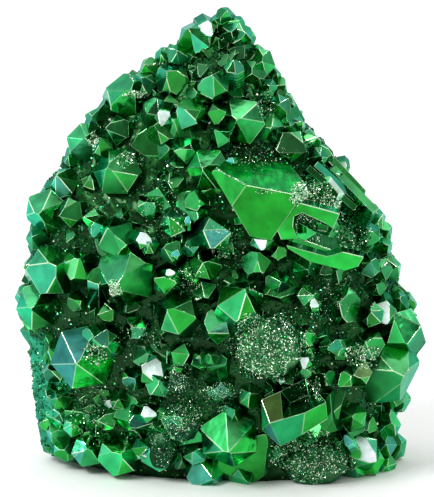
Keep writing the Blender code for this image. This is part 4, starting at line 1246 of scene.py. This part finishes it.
def glint_point(x, h, radius, lift, degrees, chance):
    """Small crystal whose end face at (x, h) mirrors a pale panel to the front.

    Comes with its axis, the middle of that face and the direction it faces.
    """
    spot = on_mound(x, h) + OUTWARD * lift
    mirror = (OUTWARD + GLINT_PANEL.normalized()).normalized()
    away = view_direction(degrees)
    away = (away - mirror * away.dot(mirror)).normalized()
    axis = mirror * math.cos(FACE_LEAN) + away * math.sin(FACE_LEAN)
    across = (mirror - axis * axis.dot(mirror)).normalized()
    tip = spot + (away * GLINT_SHIFT + mirror * GLINT_INSET) * radius
    grown = frame_along(axis, axis.cross(across), tip)
    bm = prism_mesh(radius, GLINT_LENGTH * radius, 0.0)
    for side in range(6):
        normal = end_normal(60.0 * side)
        inset = radius * (GLINT_INSET if side == 0 else chance.uniform(0.0, GLINT_UNEVEN))
        cut_face(bm, -normal * inset, normal)
    bm.transform(grown)
    return bm, axis, spot, mirror


def front_body(corners, faces, depth):
    """Closed body with this front and a flat hidden back, where it faces, and one corner."""
    anchor = on_mound(*corners[0][:2])
    bm = bmesh.new()
    verts = [bm.verts.new(on_plane(x, h, anchor, OUTWARD, lift)) for x, h, lift in corners]
    for face in faces:
        bm.faces.new([verts[number] for number in face])
    rim = [edge for edge in bm.edges if edge.is_boundary]
    made = bmesh.ops.extrude_edge_only(bm, edges=rim)["geom"]
    behind = [item for item in made if isinstance(item, bmesh.types.BMVert)]
    for vert in behind:
        vert.co -= OUTWARD * ((vert.co - anchor).dot(OUTWARD) + depth)
    back_rim = [edge for edge in bm.edges if edge.is_boundary]
    bmesh.ops.contextual_create(bm, geom=back_rim)
    return bm, OUTWARD, anchor


def gather(store, bm, narrow, axis, place, chance, ground, tone, even, mirror):
    """Add a finished crystal to a piece. A facet that faces the mirror direction has its own colour, on
    most mirror crystals a painted highlight.

    Each point takes the direction and colour of its widest facet, so facets stay flat and the
    chamfers between them look rounded.
    """
    first = len(store["points"])
    looks = {}
    for face in bm.faces:
        upright = 1.0 if abs(face.normal.dot(axis)) < UPRIGHT_LIMIT else 0.0
        blur = chance.random() ** BLUR_POWER
        color = film_color(face.normal, chance, tone, even)
        if not even and place.z < FOOT_HEIGHT and chance.random() < FOOT_SHARE:
            color = color.lerp(BLUE * tone, chance.uniform(*FOOT_PART))
        # Painted light: the film is brighter near the ground.
        if place.z < FOOT_HEIGHT:
            color = color * FOOT_PAINTED_LIGHT
        # Painted shade: large facets that mirror the key light to the front are darker.
        if face.normal.dot(GLARE) > GLARE_LIMIT and face.calc_area() > GLARE_AREA:
            color = color * GLARE_TONE
        # The mirror face takes its own colour, on most mirror crystals a painted highlight.
        if mirror is not None and face.normal.dot(mirror[0]) > MIRROR_LIMIT:
            color, blur = mirror[1], GLINT_BLUR
        looks[face] = (color, upright, blur, face.calc_area())
    bm.verts.index_update()
    for vert in bm.verts:
        wide = [face for face in vert.link_faces if face not in narrow] or vert.link_faces
        widest = max(wide, key=lambda face: looks[face][3])
        color, upright, blur, _ = looks[widest]
        # Painted shade: deep in the gaps the film darkens towards the painted shade colour.
        shade = painted_gap_shade(vert.co, ground)
        blur += (1.0 - blur) * SHADE_BLUR * (1.0 - shade)
        along = (vert.co - place).dot(axis)
        add_vertex(store, vert.co, widest.normal, PAINTED_SHADE.lerp(color, shade), blur, upright, along)
    for face in bm.faces:
        # Chamfers get a random share of the painted edge highlight, weaker on darker crystals.
        bright = EDGE_LEAST + (1.0 - EDGE_LEAST) * chance.random() ** EDGE_POWER
        edge = bright * min(1.0, tone) if face in narrow else 0.0
        add_face(store, [first + vert.index for vert in face.verts], edge)
    bm.free()


def add_crystal(store, bm, radius, axis, place, chance, ground, tone=1.0, mirror=None):
    """Cut a crystal off underneath, chamfer it and add it to a piece."""
    turn_outwards(bm)
    if not cut_underneath(bm):
        bm.free()
        return
    short = min(SHORT_EDGE, SHORT_PART * radius)
    bmesh.ops.remove_doubles(bm, verts=bm.verts[:], dist=short)
    turn_outwards(bm)
    narrow = chamfer(bm, min(CHAMFER_MOST, CHAMFER_PART * radius), axis)
    bm.normal_update()
    gather(store, bm, narrow, axis, place, chance, ground, tone, radius > EVEN_RADIUS, mirror)


def add_object(name, data):
    """New object in the scene."""
    thing = bpy.data.objects.new(name, data)
    bpy.context.scene.collection.objects.link(thing)
    return thing


def add_attribute(mesh, name, kind, domain, values, field="value"):
    """Store values on a mesh for its material."""
    attribute = mesh.attributes.new(name, kind, domain)
    attribute.data.foreach_set(field, values)


def add_piece(name, store, material):
    """Object from a piece's lists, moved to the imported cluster's place and into metres."""
    mesh = bpy.data.meshes.new(name)
    points = [(point + CLUSTER_SHIFT) * MM for point in store["points"]]
    mesh.from_pydata(points, [], store["faces"])
    mesh.update()
    mesh.polygons.foreach_set("use_smooth", [True] * len(mesh.polygons))
    add_attribute(mesh, "film", "FLOAT_COLOR", "POINT", store["film"], "color")
    add_attribute(mesh, "gloss", "FLOAT", "POINT", store["gloss"])
    add_attribute(mesh, "along", "FLOAT", "POINT", store["along"])
    add_attribute(mesh, "edge", "FLOAT", "FACE", store["edge"])
    if store["normals"]:
        mesh.normals_split_custom_set_from_vertices(store["normals"])
    mesh.materials.append(material)
    piece = add_object(name, mesh)
    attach(piece, "root")
    return piece


def add_lump(store, x, h, half_width, half_height, depth, lift, color):
    """Rounded lump at a place in the front view, and the places on it that should stay in view."""
    middle = on_mound(x, h) + OUTWARD * lift
    bm = bmesh.new()
    bmesh.ops.create_icosphere(bm, subdivisions=LUMP_CUTS, radius=1.0)
    for vert in bm.verts:
        swell = 1.0 + LUMP_SWELL * noise.noise(vert.co * LUMP_SCALE + Vector((x, h, 0.0)))
        right, up, out = vert.co * swell
        offset = ACROSS * right * half_width + UPWARD * up * half_height + OUTWARD * out * depth
        vert.co = middle + offset
    while not inside_box(bm):
        bmesh.ops.translate(bm, verts=bm.verts[:], vec=OUTWARD * -LUMP_STEP)
    turn_outwards(bm)
    cut_underneath(bm)
    bm.normal_update()
    bm.verts.index_update()
    first = len(store["points"])
    for vert in bm.verts:
        mottle = 1.0 + LUMP_MOTTLE * noise.noise(vert.co * LUMP_MOTTLE_SCALE)
        add_vertex(store, vert.co, vert.normal, color * mottle, 1.0)
    add_faces(store, bm, first)
    bm.free()
    front = middle + OUTWARD * depth
    reach = LUMP_RIM * min(half_width, half_height)
    around = [view_direction(60.0 * turn) * reach for turn in range(6)]
    return [front] + [front + side - OUTWARD * LUMP_FALL * depth for side in around]


def ridge_points(store, edges, chance):
    """Rows of fine druse along some ridges of crystals."""
    for start, end, outwards in edges:
        steps = int((end - start).length / RIDGE_STEP)
        for step in range(steps):
            spot = start.lerp(end, (step + chance.random()) / steps)
            spot += scatter(chance, RIDGE_SPREAD)
            axis = (outwards + scatter(chance, DRUSE_TILT)).normalized()
            radius = chance.uniform(*RIDGE_SIZES)
            gold_sparkle = chance.random() < RIDGE_GOLD_SPARKLE
            if clear_of_ground(spot, radius):
                druse_point(store, spot, axis, radius, chance, RIDGE_TONE, gold_sparkle)


def ridges_of(bm, axis):
    """Ridges of a crystal that show to the front, as (start, end, direction outwards)."""
    ridges = []
    bm.normal_update()
    for edge in bm.edges:
        if len(edge.link_faces) != 2 or edge.calc_length() < RIDGE_LEAST:
            continue
        outwards = (edge.link_faces[0].normal + edge.link_faces[1].normal).normalized()
        endwards = min(face.normal.dot(axis) for face in edge.link_faces)
        if outwards.dot(OUTWARD) > RIDGE_FRONT and endwards > RIDGE_END:
            start, end = (vert.co.copy() for vert in edge.verts)
            ridges.append((start, end, outwards))
    return ridges


def matrix_store():
    """Rough matrix: the mound of the solid with fine relief, broken into blocks on its back."""
    bm = mound_mesh()
    turn_outwards(bm)
    bmesh.ops.subdivide_edges(bm, edges=bm.edges[:], cuts=MATRIX_CUTS, use_grid_fill=True)
    bm.normal_update()
    moves = []
    for vert in bm.verts:
        back = min(1.0, max(0.0, vert.normal.y * BACK_RATE))
        fine = noise.fractal(vert.co * RELIEF_SCALE, *RELIEF_LAYERS) * MATRIX_RELIEF
        _, corners = noise.voronoi(vert.co * BROKEN_SCALE)
        block = noise.cell_vector(corners[0] * BLOCK_SEED_SCALE) - Vector((0.5, 0.5, 0.5))
        slope = (vert.co * BROKEN_SCALE - corners[0]).dot(block) / BROKEN_SCALE
        moves.append(vert.normal * (fine + back * (slope * BLOCK_SLOPE + block.x * BACK_RELIEF)))
    for vert, move in zip(bm.verts, moves):
        vert.co += move
    cut_underneath(bm)
    bmesh.ops.triangulate(bm, faces=bm.faces[:])
    turn_outwards(bm)
    bm = in_order(bm)
    bm.verts.index_update()
    store = new_store()
    for vert in bm.verts:
        mottle = MATRIX_MOTTLE * noise.noise(vert.co * MATRIX_MOTTLE_SCALE)
        # The matrix takes a darker share of the painted shade colour; the bare corner is teal instead.
        color = PAINTED_SHADE * MATRIX_TONE * (1.0 + mottle)
        if vert.co.x < CORNER_EDGE and vert.co.z < BARE_CORNER_TOP:
            color = TEAL * (CORNER_TONE + MATRIX_MOTTLE * noise.noise(vert.co * CORNER_MOTTLE_SCALE))
        add_vertex(store, vert.co, None, color, MATRIX_BLUR)
    add_faces(store, bm, 0)
    bm.free()
    return store


def tint_facets(stores):
    """Give some facets the film of the table, where they show in the front view."""
    tree = shown_tree(stores)
    for x, h, reach, color, turned in TINTED_FACETS:
        hit, _, index = seen_in_view(tree, x, h)
        for store in stores:
            if index < len(store["faces"]):
                break
            index -= len(store["faces"])
        normal = store["normals"][store["faces"][index][0]].copy()
        for number, point in enumerate(store["points"]):
            offset = point - hit
            if offset.length > reach or abs(offset.dot(normal)) > SAME_PLANE:
                continue
            if store["normals"][number].dot(normal) > SAME_WAY:
                store["film"][4 * number:4 * number + 3] = color
                if turned > 0.0:
                    store["normals"][number] = (normal + OUTWARD * turned).normalized()
                    store["film"][4 * number + 3] = STREAK_STRENGTH
                    store["along"][number] = point.x * STREAK_SCALE


def spots_around(tree, matrix_faces, tries, chance):
    """Places where the matrix still shows, found from around the mound, with their directions."""
    for _ in range(tries):
        turn = chance.uniform(-math.pi, math.pi)
        height = chance.uniform(0.0, AROUND_TOP)
        normal = mound_normal(turn, height)
        start = mound_point(turn, height) + normal * REACH
        hit, _, index, _ = tree.ray_cast(start, -normal, 2.0 * REACH)
        if hit is not None and index < matrix_faces:
            yield hit, normal


def spots_in_view(tree, matrix_faces, tries, chance):
    """Places where the matrix shows in the front view, with directions towards the viewer."""
    for _ in range(tries):
        x = chance.uniform(*VIEW_WIDTH)
        h = chance.uniform(*VIEW_HEIGHT)
        hit, normal, index = seen_in_view(tree, x, h)
        if hit is not None and index < matrix_faces:
            yield hit, (normal + OUTWARD).normalized()


def spots_on_matrix(tree, matrix_faces, around, in_view, chance):
    """Places where the matrix shows, first those of the front view, with their directions."""
    shown = list(spots_in_view(tree, matrix_faces, in_view, chance))
    return shown + list(spots_around(tree, matrix_faces, around, chance))


def inside_box(bm):
    """Whether a mesh stays inside the solid's box, apart from its underside."""
    for x, y, z in (vert.co for vert in bm.verts):
        if not (BOX_LOW.x < x < BOX_HIGH.x and BOX_LOW.y < y < BOX_HIGH.y and z < BOX_HIGH.z):
            return False
    return True


def shown_places(bm, tip, large):
    """Places on a crystal that should stay in view: its tip, and a few on large front faces."""
    places = [tip]
    for face in bm.faces:
        if large and face.normal.dot(OUTWARD) > SHOWN_LIMIT:
            middle = face.calc_center_median()
            places.append(middle)
            places.extend(middle.lerp(vert.co, CORNER_SHARE) for vert in face.verts if vert.co.z > 0.0)
    return places


def hides(bm, spot, reach, places):
    """Whether a mesh stands in front of any of these places."""
    tree = BVHTree.FromBMesh(bm)
    for place in places:
        offset = place - spot
        across = (offset - OUTWARD * offset.dot(OUTWARD)).length
        if across < reach and tree.ray_cast(place + OUTWARD * CLEARANCE, OUTWARD)[0] is not None:
            return True
    return False


def small_point(spot, normal, radius, stand, tilt, chance):
    """Small crystal on a spot, and its frame."""
    axis = (normal + scatter(chance, tilt)).normalized()
    corner = any_direction(chance)
    tall = POINT_HEIGHT * radius
    bm = point_mesh(radius, tall + max(0.0, stand) + GAP_SINK * radius, chance)
    grown = frame_along(axis, corner, spot + axis * (stand + tall))
    bm.transform(grown)
    uneven_ends(bm, grown, radius, chance)
    return bm, grown


def free_of_others(spot, radius, cells, crowding, size):
    """Whether no other spot is close, by a coarse grid of cells; notes the spot if so."""
    home = tuple(int(value // size) for value in spot)
    for i in (-1, 0, 1):
        for j in (-1, 0, 1):
            for k in (-1, 0, 1):
                for other, reach in cells.get((home[0] + i, home[1] + j, home[2] + k), ()):
                    if (spot - other).length < crowding * (radius + reach):
                        return False
    cells.setdefault(home, []).append((spot, radius))
    return True


def shown_tree(stores):
    """Search tree over the faces of several pieces, in their order."""
    points, faces = [], []
    for store in stores:
        first = len(points)
        points.extend(store["points"])
        faces.extend([[first + index for index in face] for face in store["faces"]])
    return BVHTree.FromPolygons(points, faces)


def glares(bm):
    """Whether a large face mirrors the main light to the front."""
    bm.normal_update()
    return any(
        abs(face.normal.dot(GLARE)) > GLARE_LIMIT and face.calc_area() > GLARE_MOST for face in bm.faces
    )


def gap_store(others, ground, places, chance):
    """Smaller crystals where the matrix, the first of the others, still shows between them.

    They never stand in front of the given places.
    """
    store = new_store()
    size = 2.0 * GAP_SIZES[0][1]
    cells = {}
    for x, h, radius, lift, _, _ in ALL_GLINTS:
        free_of_others(on_mound(x, h) + OUTWARD * lift, radius + GLINT_ROOM, cells, 0.0, size)
    for smallest, largest, stand, around, in_view, tone in GAP_SIZES:
        tree = shown_tree(others + (store,))
        matrix_faces = len(others[0]["faces"])
        for spot, normal in spots_on_matrix(tree, matrix_faces, around, in_view, chance):
            radius = chance.uniform(smallest, largest)
            if normal.y > BACK_LIMIT and chance.random() < GAP_BACK_SHARE:
                continue
            if (spot.z > CROWN_HEIGHT and radius > CROWN_RADIUS) or spot.z < FOOT_ROOM * radius:
                continue
            if not free_of_others(spot, radius, cells, GAP_CROWDING, size):
                continue
            bm, grown = small_point(spot, normal, radius, stand, GAP_TILT, chance)
            outside = any(beyond_outline(vert.co) for vert in bm.verts) or not inside_box(bm)
            if outside or glares(bm) or hides(bm, spot, 2.0 * radius, places):
                bm.free()
                continue
            # Their low film tone is painted shade in the gaps.
            add_crystal(store, bm, radius, grown.col[2].xyz, spot, chance, ground, tone)
    return store


def druse_point(store, spot, axis, radius, chance, tone, gold_sparkle=False):
    """One fine closed point: a six-sided pyramid on a short sunk foot."""
    side = axis.orthogonal().normalized()
    side.rotate(Matrix.Rotation(chance.uniform(0.0, math.pi), 3, axis))
    other = axis.cross(side)
    ring = []
    for corner in range(6):
        turn = math.radians(60.0 * corner)
        rim = spot + (side * math.cos(turn) + other * math.sin(turn)) * radius
        ring.append(rim + axis * radius * chance.uniform(*DRUSE_RIM))
    tip = spot + axis * radius * chance.uniform(*DRUSE_TIP)
    foot = spot - axis * radius
    for corner in range(6):
        following = ring[(corner + 1) % 6]
        for apex, order in ((tip, 1), (foot, -1)):
            three = (ring[corner], following, apex)[::order]
            start = len(store["points"])
            normal = (three[1] - three[0]).cross(three[2] - three[0]).normalized()
            # Pale golden points are partly golden film and partly painted sparkle.
            color = GOLD_AND_SPARKLE if gold_sparkle else film_color(normal, chance, tone)
            for point in three:
                add_vertex(store, point, normal, color, DRUSE_BLUR)
            add_face(store, [start, start + 1, start + 2])


def patch_store(stores, skeletal, chance):
    """Fine druse in patches on what shows there in the front view. Few patches cover the plates."""
    tree = shown_tree(stores + (skeletal,))
    clean = sum(len(store["faces"]) for store in stores)
    store = new_store()
    cells = {}
    for x, h, half_width, half_height, smallest, largest, tries, gold_sparkle_share in PATCHES:
        for _ in range(tries):
            away = chance.random() ** PATCH_CROWD_IN
            turn = chance.uniform(-math.pi, math.pi)
            radius = chance.uniform(smallest, largest)
            lean = scatter(chance, DRUSE_TILT)
            gold_sparkle = chance.random() < gold_sparkle_share
            across, up = math.cos(turn), math.sin(turn)
            ragged = noise.noise(Vector((x + PATCH_LOBES * across, PATCH_LOBES * up, h)))
            away *= 1.0 + PATCH_RAGGED * ragged
            hit, normal, index = seen_in_view(
                tree, x + half_width * away * across, h + half_height * away * up)
            if hit is None or (index >= clean and gold_sparkle_share != PLATE_GOLD_SPARKLE) or not clear_of_ground(hit, radius):
                continue
            if normal.dot(OUTWARD) < 0.0:
                normal = -normal
            if not free_of_others(hit, radius, cells, PATCH_CROWDING, PATCH_CELL):
                continue
            axis = (normal + OUTWARD * PATCH_TURN + lean).normalized()
            druse_point(store, hit, axis, radius, chance, PATCH_TONE, gold_sparkle)
    return store


def clear_of_ground(spot, radius):
    """Whether a small point lies clear above the ground and the undercut, and inside the solid's box."""
    room = GRAIN_REACH * radius
    if spot.x - room < BOX_LOW.x or spot.y - room < BOX_LOW.y or min(BOX_HIGH - spot) < room:
        return False
    return all((spot - place).dot(normal) < -GRAIN_SINK * radius for place, normal in GROUND_PLANES)


def druse_store(stores, matrix_faces, chance):
    """Fine druse over the matrix that still shows."""
    tree = shown_tree(stores)
    store = new_store()
    cells = {}
    for spot, normal in spots_on_matrix(tree, matrix_faces, *DRUSE_TRIES, chance):
        radius = chance.uniform(*DRUSE_SIZES)
        axis = (normal + scatter(chance, DRUSE_TILT)).normalized()
        if not clear_of_ground(spot, radius):
            continue
        if free_of_others(spot, radius, cells, DRUSE_CROWDING, 2.0 * DRUSE_SIZES[1]):
            druse_point(store, spot, axis, radius, chance, DRUSE_TONE, chance.random() < DRUSE_GOLD_SPARKLE)
    return store


def set_inputs(node, values):
    """Set inputs of a shader node, each to a value or to the output of another node."""
    for name, value in values.items():
        if isinstance(value, bpy.types.NodeSocket):
            node.id_data.links.new(value, node.inputs[name])
        else:
            node.inputs[name].default_value = value


def add_node(tree, kind, inputs=None, **settings):
    """New shader node with its settings and inputs."""
    node = tree.nodes.new("ShaderNode" + kind)
    for name, value in settings.items():
        setattr(node, name, value)
    set_inputs(node, inputs or {})
    return node


def math_node(tree, operation, *values):
    """Output of a node that calculates with these values."""
    return add_node(tree, "Math", dict(enumerate(values)), operation=operation).outputs["Value"]


def noise_node(tree, place, scale, detail):
    """Output of soft noise."""
    inputs = {"Vector": place, "Scale": scale, "Detail": detail}
    return add_node(tree, "TexNoise", inputs).outputs["Fac"]


def mapped(tree, value, before, after, kind="LINEAR"):
    """Output of a node that moves a value from one span to another."""
    inputs = {
        "Value": value, "From Min": before[0], "From Max": before[1],
        "To Min": after[0], "To Max": after[1],
    }
    return add_node(tree, "MapRange", inputs, interpolation_type=kind).outputs["Result"]


def bump_node(tree, strength, distance, height, **inputs):
    """Direction of a surface that is bent by a height in metres."""
    inputs.update({"Strength": strength, "Distance": distance, "Height": height})
    return add_node(tree, "Bump", inputs).outputs["Normal"]


def coating(name):
    """Metallic film: green to blue facets, painted highlights on the edges, growth lines on the prisms,
    slight waviness.
    """
    material = bpy.data.materials.new(name)
    material.use_nodes = True
    tree = material.node_tree
    film, edge, gloss, along = (
        add_node(tree, "Attribute", attribute_name=label).outputs
        for label in ("film", "edge", "gloss", "along")
    )
    place = add_node(tree, "TexCoord").outputs["Object"]
    clouds = noise_node(tree, place, *CLOUDS)
    along_axis = add_node(tree, "CombineXYZ", {"Z": along["Fac"]}).outputs["Vector"]
    stretched = add_node(
        tree, "VectorMath", {0: place, 1: [LINE_DENSITY] * 3, 2: along_axis}, operation="MULTIPLY_ADD")
    lines = noise_node(tree, stretched.outputs["Vector"], *LINES)
    bands = mapped(tree, lines, LINE_SPAN, LINE_TONES)
    lined = math_node(tree, "MULTIPLY_ADD", bands, film["Alpha"], 1.0)
    tone = math_node(tree, "MULTIPLY", lined, mapped(tree, clouds, CLOUD_SPAN, CLOUD_TONES))
    shade = add_node(tree, "VectorMath", {"Vector": film["Color"], "Scale": tone}, operation="SCALE")
    # The edge attribute mixes in the painted edge highlight.
    color = {"Factor": edge["Fac"], "A": shade.outputs["Vector"], "B": PAINTED_EDGE_HIGHLIGHT}
    rough = mapped(tree, gloss["Fac"], (0.0, 1.0), FACET_BLUR)
    ripple = bump_node(tree, WAVE_STRENGTH, WAVE_HEIGHT, noise_node(tree, place, *WAVES))
    grooves = math_node(tree, "MULTIPLY", lines, film["Alpha"])
    set_inputs(tree.nodes["Principled BSDF"], {
        "Base Color": add_node(tree, "Mix", color, data_type="RGBA").outputs["Result"],
        "Metallic": 1.0,
        "Roughness": math_node(tree, "MULTIPLY_ADD", clouds, CLOUD_BLUR, rough),
        "Specular Tint": GRAZING_TINT,
        "Coat Weight": TOP_COAT,
        "Coat Roughness": TOP_COAT_BLUR,
        "Normal": bump_node(tree, GROOVE_STRENGTH, GROOVE_HEIGHT, grooves, Normal=ripple),
    })
    return material


def add_floor():
    """Plain pale floor."""
    material = bpy.data.materials.new("pale_floor")
    material.use_nodes = True
    shader = material.node_tree.nodes["Principled BSDF"]
    inputs = {"Base Color": FLOOR_COLOR, "Roughness": FLOOR_BLUR, "Specular IOR Level": FLOOR_GLOSS}
    set_inputs(shader, inputs)
    mesh = bpy.data.meshes.new("floor")
    signs = ((-1, -1), (1, -1), (1, 1), (-1, 1))
    corners = [(across * FLOOR_REACH, along * FLOOR_REACH, 0.0) for across, along in signs]
    mesh.from_pydata(corners, [], [(0, 1, 2, 3)])
    mesh.materials.append(material)
    floor = add_object("floor", mesh)
    floor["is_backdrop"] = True


def add_area_light(name, place, width, radiance):
    """Square soft light that faces the cluster."""
    light = bpy.data.lights.new(name, "AREA")
    light.shape = "SQUARE"
    light.size = width
    light.energy = radiance * math.pi * width * width
    lamp = add_object(name, light)
    lamp.location = place
    lamp.rotation_euler = (Vector(place) - AIM * MM).to_track_quat("Z", "Y").to_euler()


def add_world():
    """Plain studio surroundings: pale to the camera, else dim with soft bright panels."""
    world = bpy.data.worlds.new("studio")
    bpy.context.scene.world = world
    world.use_nodes = True
    tree = world.node_tree
    way = add_node(tree, "TexCoord").outputs["Generated"]
    total = DIM_LEVEL
    for x, y, z, inner, outer, strength in PANELS:
        inputs = {0: way, 1: Vector((x, y, z)).normalized()}
        toward = add_node(tree, "VectorMath", inputs, operation="DOT_PRODUCT").outputs["Value"]
        span = (math.cos(math.radians(outer)), math.cos(math.radians(inner)))
        panel = mapped(tree, toward, span, (0.0, strength), "SMOOTHSTEP")
        total = math_node(tree, "ADD", panel, total)
    seen = add_node(tree, "LightPath").outputs["Is Camera Ray"]
    inputs = {"Factor": seen, "A": total, "B": PALE_SKY}
    pick = add_node(tree, "Mix", inputs, data_type="FLOAT").outputs["Result"]
    set_inputs(tree.nodes["Background"], {"Color": pick})


def add_camera():
    """Camera at the photograph's angle, with the photograph's frame around the cluster."""
    data = bpy.data.cameras.new("camera")
    data.sensor_fit = "HORIZONTAL"
    data.sensor_width = SENSOR_WIDTH
    data.lens = SENSOR_WIDTH * SIGHT_LENGTH / FRAME_WIDTH
    camera = add_object("camera", data)
    camera.location = (EYE + CLUSTER_SHIFT) * MM
    camera.rotation_euler = (0.5 * math.pi - SIGHT_TILT, 0.0, 0.0)
    bpy.context.scene.camera = camera


def crystal_store(placed, filling, ground, chance):
    """The solid's crystals, places on the placed ones that should stay in view, and some ridges."""
    giant_tip = on_mound(*GIANT_TIP) + OUTWARD * GIANT_STAND
    store = new_store()
    places, ridges = [], []
    for number, (bm, middle, radius, grown, plain) in enumerate(placed + filling):
        if (grown.translation - giant_tip).length < SHORT_EDGE:
            direction = view_direction(GIANT_CUT[0])
            cut_face(bm, giant_tip + direction * GIANT_CUT[1], direction)
        axis = grown.col[2].xyz
        turn_outwards(bm)
        if plain:
            uneven_ends(bm, grown, radius, chance)
        if number < len(placed):
            places.extend(shown_places(bm, grown.translation, radius > EVEN_RADIUS or not plain))
        found = ridges_of(bm, axis)
        if found and chance.random() < RIDGE_SHARE:
            ridges.append(chance.choice(found))
        add_crystal(store, bm, radius, axis, middle, chance, ground)
    return store, places, ridges


def glint_store(ground, chance):
    """Small crystals with one face that mirrors a panel, most of them with a painted highlight on it."""
    store = new_store()
    for x, h, radius, lift, degrees, color in ALL_GLINTS:
        bm, axis, spot, mirror = glint_point(x, h, radius, lift, degrees, chance)
        add_crystal(store, bm, radius, axis, spot, chance, ground, mirror=(mirror, color))
    return store


def skeletal_store(ground, places, chance):
    """Plates and the hollowed crystal. Adds the places on them that should stay in view."""
    bodies = [plate_mesh(*plate) for plate in PLATES]
    bodies.append(front_body(HOLLOW_CORNERS, HOLLOW_FACES, HOLLOW_DEPTH))
    store = new_store()
    for bm, axis, anchor in bodies:
        turn_outwards(bm)
        places.extend(shown_places(bm, anchor, True))
        add_crystal(store, bm, PLATE_CHAMFER, axis, anchor, chance, ground)
    return store


def dressed_pieces():
    """All pieces of the cluster by name. Plates and lumps stand in for hollow and blunt crystals."""
    chance = random.Random(SEED)
    detail = random.Random(DETAIL_SEED)
    placed = placed_points(chance)
    filling = filling_points(placed, chance)
    hollows = len(placed) - len(LYING_CRYSTALS) - len(HOLLOW_CRYSTALS)
    blunts = hollows - len(BLUNT_CRYSTALS)
    del placed[hollows:hollows + len(HOLLOW_CRYSTALS)]
    del placed[blunts:blunts + LUMPS_FOR_BLUNTS]
    matrix = matrix_store()
    ground = shown_tree((matrix,))
    crystals, places, ridges = crystal_store(placed, filling, ground, detail)
    glints = glint_store(ground, detail)
    skeletal = skeletal_store(ground, places, detail)
    tint_facets((crystals, skeletal))
    for lump in LUMPS:
        places.extend(add_lump(crystals, *lump))
    gaps = gap_store((matrix, crystals, skeletal, glints), ground, places, detail)
    covered = (matrix, crystals, gaps, glints)
    druse = druse_store(covered, len(matrix["faces"]), detail)
    patches = patch_store(covered, skeletal, detail)
    ridge_points(patches, ridges, detail)
    return {
        "crystals": crystals, "glint_crystals": glints, "skeletal_crystals": skeletal, "matrix": matrix,
        "gap_crystals": gaps, "druse": druse, "druse_patches": patches,
    }


def main():
    """Dress the cluster, then set up its surroundings and work out the sizes."""
    film = coating("aura_coating_detailed")
    for name, store in dressed_pieces().items():
        piece = add_piece(name, store, film)
        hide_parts("cluster")
    add_floor()
    for light in LIGHTS:
        add_area_light(*light)
    add_world()
    add_camera()
    bpy.context.scene.view_settings.view_transform = "Standard"
    boxes = {"cad": CAD_BOX, "visual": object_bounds()}
    sizes = {name: [list(corner) for corner in box] for name, box in boxes.items()}


main()
